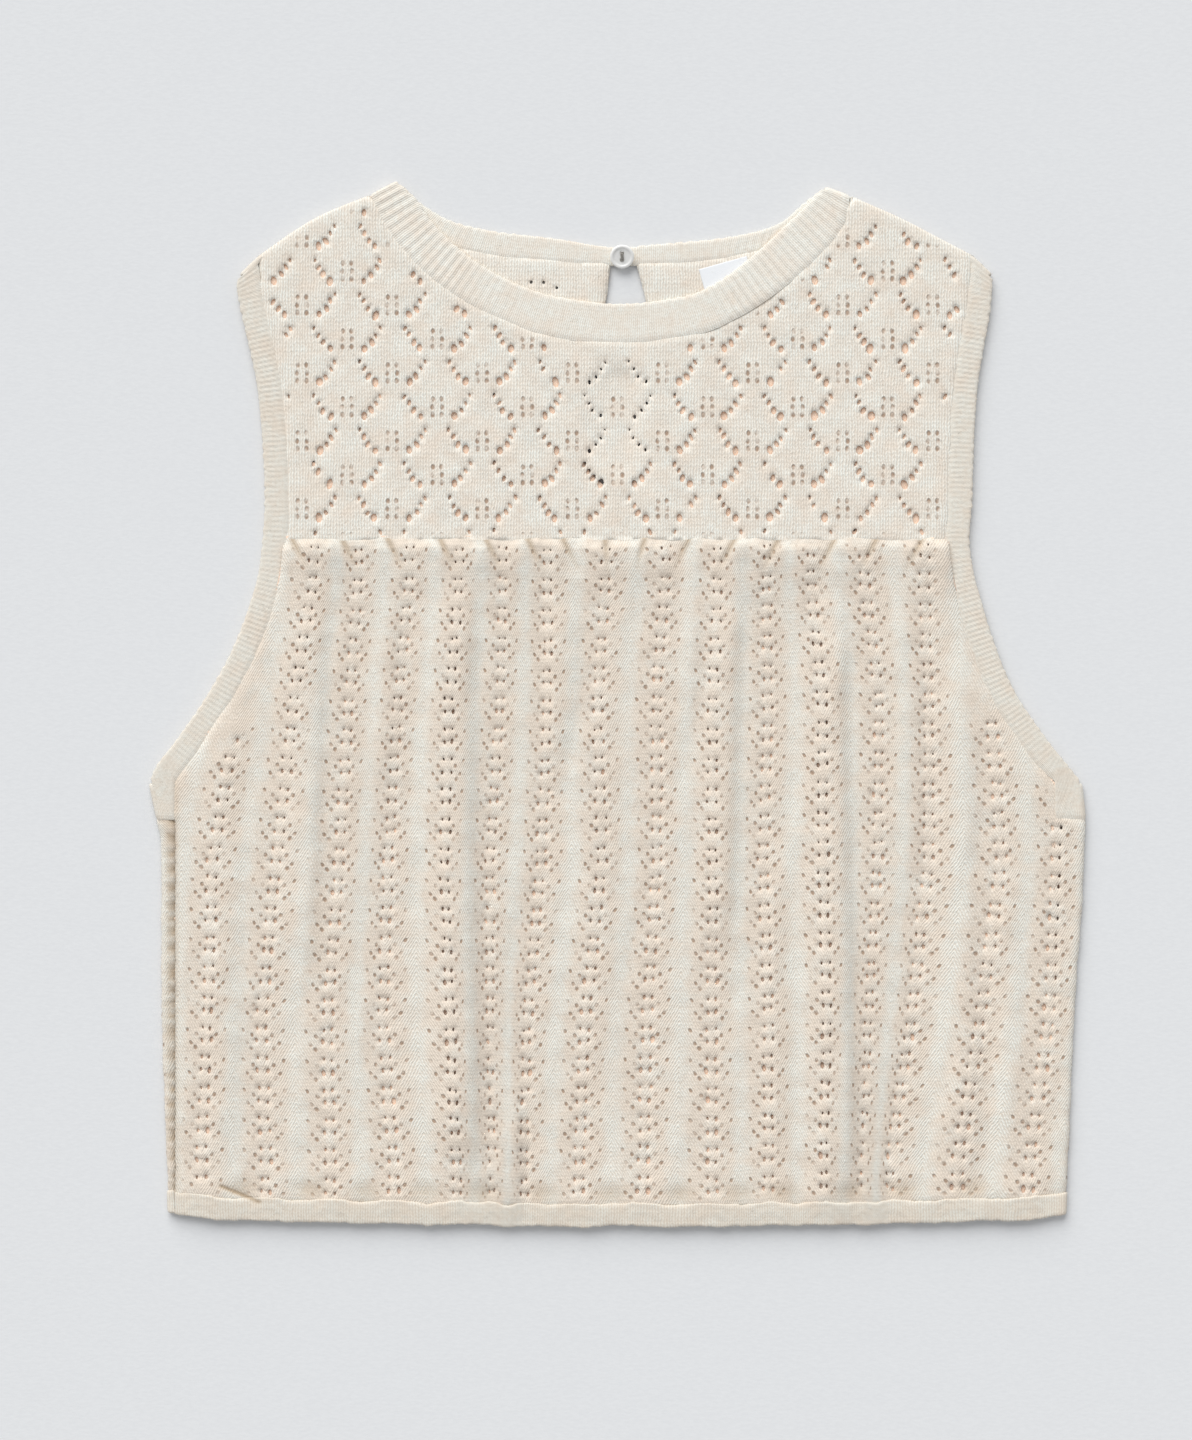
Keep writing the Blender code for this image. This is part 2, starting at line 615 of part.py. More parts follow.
def body_panel(name, rows, columns, front, first_wrapped, thicker=0.0):
    """A layer of the body or hem: a wide panel, and past one seam a strip that turns to the other layer.

    The front turns under at the right and the back turns up at the left, in the rows from first_wrapped on.
    """
    x, y = panel_grid(rows, columns)
    if front:
        top = FRONT_TOP + fold_height(x, y)
        outer_z, inner_z = top + thicker, top - WALL
    else:
        outer_z, inner_z = np.zeros_like(x), np.full_like(x, WALL)
    outer, inner = np.stack([x, y, outer_z], axis=2), np.stack([x, y, inner_z], axis=2)
    side = "right" if front else "left"
    strips = []
    for number in range(len(rows)):
        edge = y[number, -1 if front else 0]
        strips.append(side_section(edge, side, front))
    strip_out = np.array([strip[0] for strip in strips])
    strip_in = np.array([strip[1] for strip in strips])
    if thicker and front:
        strip_out[:, :len(HEM_FADE), 2] += thicker * np.array(HEM_FADE)
    if not front:
        strip_out, strip_in = strip_out[:, ::-1], strip_in[:, ::-1]
        outer, inner = np.concatenate([strip_out, outer], 1), np.concatenate([strip_in, inner], 1)
        spare = range(strip_out.shape[1])
    else:
        spare = range(outer.shape[1] - 1, outer.shape[1] - 1 + strip_out.shape[1])
        outer, inner = np.concatenate([outer, strip_out], 1), np.concatenate([inner, strip_in], 1)
    width = outer.shape[1]
    faces = [face for face in grid_faces(len(rows), width)
             if face[0] // width >= first_wrapped or face[0] % width not in spare]
    add_solid(name, outer.reshape(-1, 3), inner.reshape(-1, 3), faces)


def hem_rows():
    """Three rows of the hem band, from just below the body to the edge."""
    top, bottom = BODY_ROWS[-1] - GAP, BODY_ROWS[-1] - HEM_HEIGHT
    return [top, top + HEM_MIDDLE * (bottom - top), bottom]


def button():
    """A dished disc with two holes, one above the other, tipped towards the hem."""
    rim = oval(0, 0, 2 * BUTTON_RADIUS, 2 * BUTTON_RADIUS, 0, 28)
    dish = oval(0, 0, 2 * BUTTON_RIM, 2 * BUTTON_RIM, 0, 20)
    holes = [oval(0, way * BUTTON_HOLES_APART / 2, 2 * BUTTON_HOLE, 2 * BUTTON_HOLE, 0, 8) for way in (-1, 1)]
    flat, faces = fill_outline(rim, holes, [dish])
    radius = np.hypot(flat[:, 0], flat[:, 1])
    edge = radius > (BUTTON_RADIUS + BUTTON_RIM) / 2
    upper = at_height(flat, np.where(edge, BUTTON_THICK, BUTTON_THICK - BUTTON_DISH))
    lower = at_height(flat * np.where(edge, BUTTON_FOOT, 1.0)[:, None], 0.0)
    upper[edge, :2] *= BUTTON_FACE
    tip, level = math.sin(BUTTON_TILT), math.cos(BUTTON_TILT)
    seat = WALL + GAP + BUTTON_RADIUS * BUTTON_FOOT * tip
    for points_3d in (upper, lower):
        y, z = points_3d[:, 1].copy(), points_3d[:, 2].copy()
        points_3d[:, 0] += BUTTON_AT.x
        points_3d[:, 1] = BUTTON_AT.y + y * level - z * tip
        points_3d[:, 2] = seat + y * tip + z * level
    add_solid("button", upper, lower, faces, "shell")


def neck_label():
    """A plain strip of woven ribbon, with nothing on it."""
    corners = [(0, 0), (LABEL_SIZE.x, 0), (LABEL_SIZE.x, -LABEL_SIZE.y), (0, -LABEL_SIZE.y)]
    placed = np.array([turned_by(corner, LABEL_TURN) for corner in corners]) + list(LABEL_CORNER)
    low = WALL + GAP
    add_solid("neck_label", at_height(placed, low + LABEL_THICK), at_height(placed, low),
              [(0, 3, 2, 1)], "woven")


def centre_garment():
    """Moves every piece so that the garment's box stands centred over the origin."""
    corners = np.array([vertex.co[:] for piece in bpy.context.scene.objects for vertex in piece.data.vertices])
    low, high = corners.min(axis=0), corners.max(axis=0)
    for piece in bpy.context.scene.objects:
        piece.location = (-(low[0] + high[0]) / 2, -(low[1] + high[1]) / 2, -low[2])


def build():
    clear_scene()
    front_yoke()
    back_yoke()
    wrapped = BODY_ROWS.index(SIDE_TOP_Y)
    body_panel("front_body", BODY_ROWS, BODY_COLUMNS, True, wrapped)
    body_panel("back_body", BODY_ROWS, BACK_COLUMNS, False, wrapped)
    body_panel("hem_front", hem_rows(), BODY_COLUMNS, True, 0, HEM_EXTRA)
    body_panel("hem_back", hem_rows(), BACK_COLUMNS, False, 0)
    neckband()
    armhole_band("left")
    armhole_band("right")
    button()
    neck_label()
    centre_garment()


build()
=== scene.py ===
# Sleeveless lace-knit top, laid flat on a pale surface and seen from straight above.
# Sizes are millimetres on the laid garment: x to the right, y from hem to neck, z up from the surface.
# The back is the lower layer, the front the upper one, and the cloth turns over at shoulders and sides.
import json
import math
from functools import partial

import bpy
import numpy as np
from mathutils.geometry import delaunay_2d_cdt
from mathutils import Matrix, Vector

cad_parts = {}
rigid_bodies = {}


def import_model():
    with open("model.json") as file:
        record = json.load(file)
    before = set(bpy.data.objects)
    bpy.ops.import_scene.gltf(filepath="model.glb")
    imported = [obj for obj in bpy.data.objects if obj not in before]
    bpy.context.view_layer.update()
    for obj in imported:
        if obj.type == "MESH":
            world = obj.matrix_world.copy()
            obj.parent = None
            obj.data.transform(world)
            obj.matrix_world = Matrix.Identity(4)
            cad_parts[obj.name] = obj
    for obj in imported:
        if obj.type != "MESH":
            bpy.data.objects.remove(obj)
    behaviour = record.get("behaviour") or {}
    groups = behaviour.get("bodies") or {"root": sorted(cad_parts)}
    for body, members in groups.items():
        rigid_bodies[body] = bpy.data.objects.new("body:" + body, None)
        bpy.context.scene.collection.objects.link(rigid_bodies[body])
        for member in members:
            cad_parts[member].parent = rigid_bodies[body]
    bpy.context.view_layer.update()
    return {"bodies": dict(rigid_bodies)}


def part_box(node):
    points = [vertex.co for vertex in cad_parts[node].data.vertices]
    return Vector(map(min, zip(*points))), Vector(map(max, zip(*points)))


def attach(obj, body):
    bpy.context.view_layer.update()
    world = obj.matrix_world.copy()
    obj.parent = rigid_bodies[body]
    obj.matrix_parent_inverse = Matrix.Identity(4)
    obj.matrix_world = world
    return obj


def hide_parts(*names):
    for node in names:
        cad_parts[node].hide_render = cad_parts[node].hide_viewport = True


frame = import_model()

mm = 0.001
body = sorted(frame["bodies"])[0]

layer = {
    "wall": 1.8,            # room that one layer of knitting takes
    "gap": 0.3,             # between the layers
    "cloth": 1.2,           # thickness of the front's knitting
    "backCloth": 2.2,       # the back's, brushed up
    "backFluff": 0.3,       # and so much more where the front lies on it
    "tuck": 2.0,            # how far a panel's edge runs in under the band that it is sewn to
    "seamDip": 0.9,         # tucked in, a panel's edge lies this much lower
    "seamReach": 2.6,
    "bandDip": 0.45,        # and a band's at its seam
    "bandReach": 1.8,
    "eyeletDip": 0.6,       # and round an eyelet
    "eyeletThin": 0.65,     # where it is thinner too
    "eyeletReach": 1.7,
    "eyeletGlow": 0.2,      # and painted warmer there, as light that comes back from inside
    "edgeThin": 1.8,        # the back yoke is thinner at its edge by so many times the dip there
    "wave": 0.2,            # unevenness of a panel's outer face
}
frontTop = 2 * layer["wall"] + layer["gap"]
turnRadius = frontTop / 2

outline = {
    # edges of the garment at the armholes, from shoulder to underarm
    "armholeY": [206.5, 199.4, 184.1, 155.3, 126.5, 97.7, 78.5, 64.1, 49.7, 28.1, 6.5, -15.1, -29.5, -38.5],
    "armholeLeft": [-181.5, -182.8, -179.8, -173.5, -170.6, -169.4, -170.4, -172.1, -175.9, -184.1, -195.6,
                    -210.0, -221.0, -225.2],
    "armholeRight": [180.0, 180.0, 178.3, 173.4, 171.4, 170.4, 169.0, 170.8, 174.6, 181.4, 190.4,
                     204.6, 216.0, 223.4],
    # edges at the sides, from underarm to hem
    "sideY": [-56.0, -65.5, -94.3, -123.1, -151.9, -180.7, -209.5, -251.0],
    "sideLeft": [-221.5, -219.6, -219.2, -219.4, -219.1, -218.2, -217.1, -215.6],
    "sideRight": [225.2, 224.8, 223.7, 221.4, 219.7, 218.3, 217.1, 215.2],
    # lower edge of the hem
    "hemX": [-226.0, -212.0, -190.0, -120.0, -30.0, 60.0, 150.0, 196.0, 226.0],
    "hemY": [-241.5, -245.4, -247.8, -249.4, -250.9, -250.8, -249.2, -247.6, -244.6],
    # shoulder line from armhole band to neckband
    "shoulderLeft": [(-172.8, 215.0), (-153.8, 228.2), (-139.4, 236.2), (-119.6, 244.2)],
    "shoulderRight": [(171.4, 215.0), (153.0, 224.6), (136.0, 233.4), (112.9, 243.6)],
    "shoulderY": 205.0,     # above this a yoke's edge follows the shoulder line
    "yokeSeam": 78.5,
    "bandWidth": 12.0,
    "bandFoot": -56.0,
    "bandSplay": -22.0,
    "bandCorner": -37.5,
    "seamLeft": -212.4,
    "seamRight": 210.0,
    "hemHeight": 11.0,
}

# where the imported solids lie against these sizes
frameShift = np.array([0.0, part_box("front_yoke")[0][1] / mm - outline["yokeSeam"], 0.0])


# Curves and paths

def smoothCurve(points, steps):
    # Catmull-Rom: each stretch is the cubic through its two ends whose slopes follow their neighbours
    points = np.asarray(points, float)
    ends = np.vstack([2 * points[0] - points[1], points, 2 * points[-1] - points[-2]])
    a, b, c, d = (ends[i:len(ends) - 3 + i, None] for i in range(4))
    t = (np.arange(steps) / steps)[None, :, None]
    curve = 0.5 * (2 * b + (c - a) * t + (2 * a - 5 * b + 4 * c - d) * t**2 + (3 * b - a - 3 * c + d) * t**3)
    return np.vstack([curve.reshape(-1, points.shape[1]), points[-1:]])


def evenSteps(points, spacing):
    # the same path with its points evenly spaced, measured along its first two columns
    run = np.concatenate([[0], np.cumsum(np.linalg.norm(np.diff(points[:, :2], axis=0), axis=1))])
    at = np.linspace(0, run[-1], max(2, int(round(run[-1] / spacing)) + 1))
    return np.column_stack([np.interp(at, run, column) for column in points.T])


def movedAside(points, distance):
    # the path moved to the left of its own direction
    along = np.gradient(points, axis=0)
    along /= np.linalg.norm(along, axis=1)[:, None]
    return points + distance * np.column_stack([-along[:, 1], along[:, 0]])


def smoothStep(value):
    # from 0 to 1 with level ends
    value = np.clip(value, 0, 1)
    return value * value * (3 - 2 * value)


def wavyNoise(x, y, size, seed, octaves=3):
    # smooth noise from about -1 to 1: plane waves in seeded directions, each octave half as long and high
    dice = np.random.default_rng(seed)
    total = np.zeros(np.broadcast(x, y).shape)
    for octave in range(octaves):
        for angle, phase in dice.uniform(0, 2 * math.pi, (5, 2)):
            wave = (x * math.cos(angle) + y * math.sin(angle)) * 2 * math.pi / (size / 2**octave)
            total += np.sin(wave + phase) * 0.5**octave / 3
    return total


def nearestOn(path, points, closed=False):
    # distance from each point to a path, and the nearest place on it, a block of points at a time
    start = path if closed else path[:-1]
    side = (np.roll(path, -1, axis=0) if closed else path[1:]) - start
    length = (side**2).sum(axis=1) + 1e-12
    away, foot = np.empty(len(points)), np.empty((len(points), 2))
    for first in range(0, len(points), 2000):
        block = points[first:first + 2000, None]
        along = np.clip(((block - start) * side).sum(axis=2) / length, 0, 1)
        place = start + along[..., None] * side
        gap = np.linalg.norm(place - block, axis=2)
        best = gap.argmin(axis=1)
        rows = np.arange(len(best))
        away[first:first + 2000] = gap[rows, best]
        foot[first:first + 2000] = place[rows, best]
    return away, foot


def insideOf(loop, points):
    # whether each point lies inside a closed outline, by counting the edges to its right
    ahead = np.roll(loop, -1, axis=0)
    x, y = points[:, :1], points[:, 1:]
    spans = (loop[:, 1] > y) != (ahead[:, 1] > y)
    rise = np.where(ahead[:, 1] == loop[:, 1], 1.0, ahead[:, 1] - loop[:, 1])
    cross = loop[:, 0] + (y - loop[:, 1]) * (ahead[:, 0] - loop[:, 0]) / rise
    return np.count_nonzero(spans & (cross > x), axis=1) % 2 == 1


# Meshes

def makePiece(name, points, faces, material, uv, warmth=0.0, lace=0.0, paintedShade=0.0):
    # points and faces as a mesh that faces outwards; uv holds the pattern's own coordinates in the map
    # "knit"; warmth tells the finish where warm painted shade goes, on the inner faces where the layers cover
    # each other and round the eyelets, lace where the pattern is drawn, and paintedShade where darker painted
    # shade goes
    quads = np.hstack([faces, faces[:, -1:]])[:, :4]
    a, b, c, d = (points[quads[:, i]] for i in range(4))
    volume = (a * (np.cross(b, c) + np.cross(c, d))).sum()
    mesh = bpy.data.meshes.new(name)
    faces = faces if volume > 0 else faces[:, ::-1]
    mesh.from_pydata(((points + frameShift) * mm).tolist(), [], faces.tolist())
    mesh.materials.append(material)
    mesh.shade_smooth()
    corner = np.empty(len(mesh.loops), np.int32)
    mesh.loops.foreach_get("vertex_index", corner)
    mesh.uv_layers.new(name="knit").data.foreach_set("uv", uv[corner].astype(np.float32).ravel())
    for mark, values in (("warmth", warmth), ("lace", lace), ("paintedShade", paintedShade)):
        values = np.zeros(len(points), np.float32) + values
        mesh.attributes.new(mark, "FLOAT", "POINT").data.foreach_set("value", values)
    piece = bpy.data.objects.new(name, mesh)
    bpy.context.scene.collection.objects.link(piece)
    print(f"{name}: {len(faces)} faces")
    return piece


def cutSheet(edge, rings, fill):
    # triangles of a flat cloth inside its edge, open at the rings
    sizes = [len(ring) for ring in rings]
    points = np.vstack([edge, *rings, fill])
    owner = np.full(len(points), -1)
    owner[len(edge):len(edge) + sum(sizes)] = np.repeat(np.arange(len(rings)), sizes)
    edges, start = [], len(edge)
    for size in sizes:
        edges += [(start + i, start + (i + 1) % size) for i in range(size)]
        start += size
    outside = [list(range(len(edge)))]
    found, _, faces, sources, _, _ = delaunay_2d_cdt(points.tolist(), edges, outside, 1, 1e-6)
    ring = np.array([owner[source[0]] if source else -1 for source in sources])
    found, faces = np.array([tuple(point) for point in found]), np.array(faces)
    corners = ring[faces]
    filled = (corners[:, 0] >= 0) & (corners[:, 0] == corners[:, 1]) & (corners[:, 1] == corners[:, 2])
    return found, faces[~filled]


def closedShell(faces, outer, inner):
    # two faces of the cloth and a rim wherever it ends
    count = len(outer)
    sides = np.vstack([faces[:, [0, 1]], faces[:, [1, 2]], faces[:, [2, 0]]])
    border = sides[~np.isin(sides[:, 0] * count + sides[:, 1], sides[:, 1] * count + sides[:, 0])]
    a, b = border.T
    rim = np.vstack([np.column_stack([b, a, a + count]), np.column_stack([b, a + count, b + count])])
    return np.vstack([outer, inner]), np.vstack([faces, faces[:, ::-1] + count, rim])


def sweptRing(sections, closed):
    # quads along a run of closed cross-sections, and an end at each side unless the run closes on itself
    rows, around = sections.shape[:2]
    index = np.arange(rows * around).reshape(rows, around)
    here = index if closed else index[:-1]
    after = np.roll(index, -1, axis=0) if closed else index[1:]
    corners = [here, np.roll(here, -1, axis=1), np.roll(after, -1, axis=1), after]
    quads = np.stack(corners, axis=2).reshape(-1, 4)
    if closed:
        return sections.reshape(-1, 3), quads
    ends = []
    for ring in (index[0][::-1], index[-1]):
        half = around // 2
        left, right = ring[:half], ring[:half - 1:-1][:half]
        ends.append(np.column_stack([left[:-1], left[1:], right[1:], right[:-1]]))
    return sections.reshape(-1, 3), np.vstack([quads, *ends])


def fillPoints(loop, step, eyelets, above=-1000.0):
    # staggered points inside an outline, clear of its edge and of the eyelets
    low, high = loop.min(axis=0), loop.max(axis=0)
    rows = np.arange(max(low[1], above), high[1], step * 0.87)
    across = np.arange(low[0], high[0], step)
    x = across[None] + (np.arange(len(rows)) % 2)[:, None] * step / 2
    points = np.column_stack([x.ravel(), np.repeat(rows, len(across))])
    points = points[insideOf(loop, points)]
    points = points[nearestOn(loop, points, closed=True)[0] > 0.35 * step]
    return points[farFromEyelets(points, eyelets, 0.22 * step)]


def farFromEyelets(points, eyelets, margin):
    # whether each point lies outside every eyelet's oval, widened by a margin
    keep = np.ones(len(points), bool)
    cx, cy, width, height, lean = eyelets.T
    for first in range(0, len(points), 1000):
        dx, dy = points[first:first + 1000, :1] - cx, points[first:first + 1000, 1:] - cy
        across = (dx * np.cos(lean) + dy * np.sin(lean)) / (width / 2 + margin)
        along = (dy * np.cos(lean) - dx * np.sin(lean)) / (height / 2 + margin)
        keep[first:first + 1000] = ((across**2 + along**2) > 1).all(axis=1)
    return keep


def eyeletRings(eyelets):
    # each eyelet as an oval of six corners, eight on the largest; columns: x, y, width, height, lean
    rings = []
    for corners, chosen in ((6, eyelets[:, 3] < 3.4), (8, eyelets[:, 3] >= 3.4)):
        angle = (np.arange(corners) + 0.5) * 2 * math.pi / corners
        cx, cy, width, height, lean = (column[:, None] for column in eyelets[chosen].T)
        across, along = np.cos(angle) * width / 2, np.sin(angle) * height / 2
        x = cx + across * np.cos(lean) - along * np.sin(lean)
        y = cy + across * np.sin(lean) + along * np.cos(lean)
        rings += list(np.stack([x, y], axis=2))
    return rings


def unevenEyelets(eyelets, seed, stray, smallest):
    # hand-knit variation of place, size and lean; those that come too close to another go
    dice = np.random.default_rng(seed)
    count = len(eyelets)
    place = eyelets[:, :2] + dice.normal(0, stray, (count, 2))
    size = eyelets[:, 2:4] * dice.uniform(smallest, 1.12, (count, 1)) * dice.uniform(0.88, 1.1, (count, 2))
    made = np.column_stack([place, size, eyelets[:, 4] + dice.normal(0, 0.14, count)])
    order = np.arange(count)
    clear = np.empty(count, bool)
    for first in range(0, count, 500):
        rows = slice(first, first + 500)
        gap = np.hypot(place[rows, None, 0] - place[:, 0], place[rows, None, 1] - place[:, 1])
        gap -= 0.42 * (size[rows, None, 1] + size[:, 1])
        clear[rows] = ((gap > 0.35) | (order >= order[rows, None])).all(axis=1)
    return made[clear]


def dipAtEyelets(points, eyelets):
    # one at an eyelet's middle, falling off like a bell
    deep = np.zeros(len(points))
    for first in range(0, len(points), 1000):
        block = points[first:first + 1000, None] - eyelets[:, :2]
        deep[first:first + 1000] = np.exp(-(block**2).sum(axis=2).min(axis=1) / layer["eyeletReach"] ** 2)
    return deep


# Finishes

def fromHex(code):
    # sRGB hex to linear colour
    parts = np.array([int(code[i:i + 2], 16) for i in (0, 2, 4)]) / 255
    linear = np.where(parts <= 0.04045, parts / 12.92, ((parts + 0.055) / 1.055) ** 2.4)
    return (*linear.tolist(), 1.0)


def addNode(tree, kind, inputs=(), output=0, **settings):
    # one node with its settings; each input is linked if it is a socket and set if it is a value
    node = tree.nodes.new("ShaderNode" + kind)
    for key, value in settings.items():
        setattr(node, key, value)
    for key, value in (inputs.items() if isinstance(inputs, dict) else enumerate(inputs)):
        if isinstance(value, bpy.types.NodeSocket):
            tree.links.new(value, node.inputs[key])
        else:
            node.inputs[key].default_value = value
    return node.outputs[output]


def newMaterial(name, **values):
    # a Principled material with values on its own sockets; gives it with its shader and a node maker
    made = bpy.data.materials.new(name)
    made.use_nodes = True
    shader = made.node_tree.nodes["Principled BSDF"]
    for key, value in values.items():
        shader.inputs[key.replace("_", " ")].default_value = value
    return made, shader, partial(addNode, made.node_tree)


knitFinish = {
    "warm": "EEE1D1",       # lace, where light glows through the yarn
    "cool": "F0F0E7",       # plain knitting, faintly greenish
    "inside": "F6DAC3",     # where the layers shade each other, and light comes back warm
    "valley": "D6C9B8",     # painted shade between the stitches
    "eyelet": "AE9580",     # painted shade in the smallest eyelets, which the fluff half closes
    "deepShade": "BBA78D",       # painted shade in creases and hollows, along seams and on the bands
    "stitchDepth": 0.7,     # mm
    # eyelets that the fluff half closes, drawn as painted shade: stitches and rows from a block's or a fan's
    # middle, width and height in stitches and rows, lean in stitches for a row
    "blockEyelets": [(0.8, 0.3, 0.8, 1.4, 0.0), (0.88, 2.1, 0.75, 1.4, 0.0), (0.74, 4.0, 0.75, 1.35, 0.0)],
    "fanEyelets": [(2.0, 1.5, 0.75, 1.2, 0.1), (2.3, -1.94, 0.8, 1.3, 0.15), (3.15, -0.67, 0.7, 1.2, 0.2),
                   (3.9, 2.8, 0.65, 1.2, 0.2)],
    "fluffSize": 2.1,       # mm; the fibre itself is too fine to show, so its fluff is drawn this coarse
    "mottleSize": 9.0,      # mm
    "swaySize": 7.0,        # mm, over which stitches wander from their lines
}


def nearestSpot(add, across, up, chart):
    # square of the distance to the closest of a chart's ovals, 1 at its rim; across and up count
    # stitches and rows, and the ovals come again every eight rows
    nearest = 9.0
    for stitches, rows, width, height, lean in chart:
        above = add("Math", (up, -rows), operation="ADD")
        above = add("Math", (above, 4.0, -4.0), operation="WRAP")
        beside = add("Math", (above, -lean, across), operation="MULTIPLY_ADD")
        beside = add("Math", (beside, 2 / width, -2 * stitches / width), operation="MULTIPLY_ADD")
        along = add("Math", (above, 2 / height), operation="MULTIPLY")
        square = add("Math", (along, along), operation="MULTIPLY")
        square = add("Math", (beside, beside, square), operation="MULTIPLY_ADD")
        nearest = add("Math", (nearest, square), operation="MINIMUM")
    return nearest


def knitMaterial(name, pattern="plain", bump=0.6, warmth=0.5):
    # hand-knit cotton yarn, brushed: quite matt, with a soft nap that catches light at its edges; every
    # stitch is a V of two plump legs. The map "knit" counts stitches across and rows up.
    made, shader, add = newMaterial(name, Roughness=0.95, Sheen_Weight=0.25, Sheen_Roughness=0.6,
                                    Specular_IOR_Level=0.1)
    knit = add("UVMap", uv_map="knit")
    place = add("TexCoord", output="Object")
    stitch, row = add("SeparateXYZ", (knit,), 0), add("SeparateXYZ", (knit,), 1)
    sway = add("TexNoise", {"Vector": place, "Scale": 1000 / knitFinish["swaySize"], "Detail": 2.0})
    fluff = add("TexNoise", {"Vector": place, "Scale": 1000 / knitFinish["fluffSize"], "Detail": 3.0,
                             "Roughness": 0.7})
    mottle = add("TexNoise", {"Vector": place, "Scale": 1000 / knitFinish["mottleSize"], "Detail": 3.0,
                              "Roughness": 0.6})
    tone = add("MapRange", {"Value": mottle, "From Min": 0.3, "From Max": 0.7, "To Min": warmth - 0.5,
                            "To Max": warmth + 0.5})
    spot = 0.0
    if pattern == "trellis":
        # blocks of eyelets every sixteen stitches, moved by eight in every other tier of eight rows
        tier = add("Math", (add("Math", (row, 1 / 8, 2 / 8), operation="MULTIPLY_ADD"),), operation="FLOOR")
        across = add("Math", (add("Math", (tier, 8.0, stitch), operation="MULTIPLY_ADD"), 8.0),
                     operation="PINGPONG")
        spot = nearestSpot(add, across, row, knitFinish["blockEyelets"])
    if pattern == "fan":
        # stitches travel outwards from the middle of each fan, three of them in a tier of eight rows;
        # between the columns the knitting is plain
        stitch = add("Math", (stitch, 6.0), operation="PINGPONG")
        column = add("MapRange", {"Value": stitch, "From Min": 5.5, "From Max": 3.2, "To Min": -0.4,
                                  "To Max": 0.4})
        tone = add("Math", (tone, column), operation="ADD", use_clamp=True)
        across = add("Math", (sway, 0.7, add("Math", (stitch, -0.35), operation="ADD")),
                     operation="MULTIPLY_ADD")
        spot = nearestSpot(add, across, row, knitFinish["fanEyelets"])
        stitch = add("Math", (row, -3 / 8, stitch), operation="MULTIPLY_ADD")
    if pattern != "plain":
        faint = add("TexNoise", {"Vector": place, "Scale": 260.0, "Detail": 1.0})
        faint = add("MapRange", {"Value": faint, "From Min": 0.36, "From Max": 0.58, "To Min": 0.3})
        spot = add("MapRange", {"Value": spot, "From Min": 1.35, "From Max": 0.35})
        spot = add("Math", (spot, faint), operation="MULTIPLY")
        laced = add("Attribute", output="Fac", attribute_name="lace")
        spot = add("Math", (spot, laced), operation="MULTIPLY")
    stitch = add("Math", (sway, 0.7, stitch), operation="MULTIPLY_ADD")
    row = add("Math", (sway, 0.9, row), operation="MULTIPLY_ADD")
    side = add("Math", (stitch, 0.5), operation="PINGPONG")
    leg = add("Math", (stitch, 0.25), operation="PINGPONG")
    lifted = add("Math", (side, -1.6, row), operation="MULTIPLY_ADD")
    loop = add("Math", (lifted, 0.5), operation="PINGPONG")
    plump = add("Math", (loop, 3.2, 1.2), operation="MULTIPLY_ADD")
    yarn = add("Math", (leg, plump), operation="MULTIPLY")
    nap = add("Math", (fluff, 0.7), operation="MULTIPLY")
    height = add("Math", (yarn, 1.0, nap), operation="MULTIPLY_ADD")
    ground = add("Mix", {0: tone, 6: fromHex(knitFinish["cool"]), 7: fromHex(knitFinish["warm"])}, 2,
                 data_type="RGBA")
    # painted shade in the hollows of the stitch relief
    hollow = add("MapRange", {"Value": height, "From Min": 0.8, "From Max": 0.3, "To Max": 0.8})
    ground = add("Mix", {0: hollow, 6: ground, 7: fromHex(knitFinish["valley"])}, 2, data_type="RGBA")
    # painted shade where the small eyelets are drawn
    ground = add("Mix", {0: spot, 6: ground, 7: fromHex(knitFinish["eyelet"])}, 2, data_type="RGBA")
    height = add("Math", (spot, -1.2, height), operation="MULTIPLY_ADD")
    # warm painted shade on the faces that the other layer covers, and round the eyelets
    shade = add("Attribute", output="Fac", attribute_name="warmth")
    ground = add("Mix", {0: shade, 6: ground, 7: fromHex(knitFinish["inside"])}, 2, data_type="RGBA")
    # darker painted shade in creases and hollows, along seams and on the bands
    shadeShare = add("Attribute", output="Fac", attribute_name="paintedShade")
    ground = add("Mix", {0: shadeShare, 6: ground, 7: fromHex(knitFinish["deepShade"])}, 2, data_type="RGBA")
    relief = add("Bump", {"Height": height, "Strength": bump, "Distance": knitFinish["stitchDepth"] * mm})
    made.node_tree.links.new(ground, shader.inputs["Base Color"])
    made.node_tree.links.new(relief, shader.inputs["Normal"])
    return made


trellisKnit = knitMaterial("yoke trellis lace, brushed cotton knit", "trellis", warmth=0.4)
fanKnit = knitMaterial("body fan lace, brushed cotton knit", "fan")
ribKnit = knitMaterial("one by one rib, brushed cotton knit", bump=0.4, warmth=0.3)


# Shape of the garment

def sideX(side, y):
    column = "sideLeft" if side == "left" else "sideRight"
    return np.interp(-np.asarray(y, float), [-v for v in outline["sideY"]], outline[column])


def hemY(x):
    return np.interp(x, outline["hemX"], outline["hemY"])


def armholePath(side):
    column = "armholeLeft" if side == "left" else "armholeRight"
    return smoothCurve(np.column_stack([outline[column], outline["armholeY"]]), 8)


def bandEdge(side, inset):
    # inner edge of an armhole band as x for a height, moved by an inset towards the middle
    sign = 1 if side == "left" else -1
    inner = movedAside(armholePath(side), sign * (outline["bandWidth"] + inset))
    seam = outline["seamLeft"] if side == "left" else outline["seamRight"]
    limit = np.maximum if side == "left" else np.minimum
    order = np.argsort(inner[:, 1])
    return lambda y: limit(np.interp(y, inner[order, 1], inner[order, 0]), seam - sign * layer["tuck"])


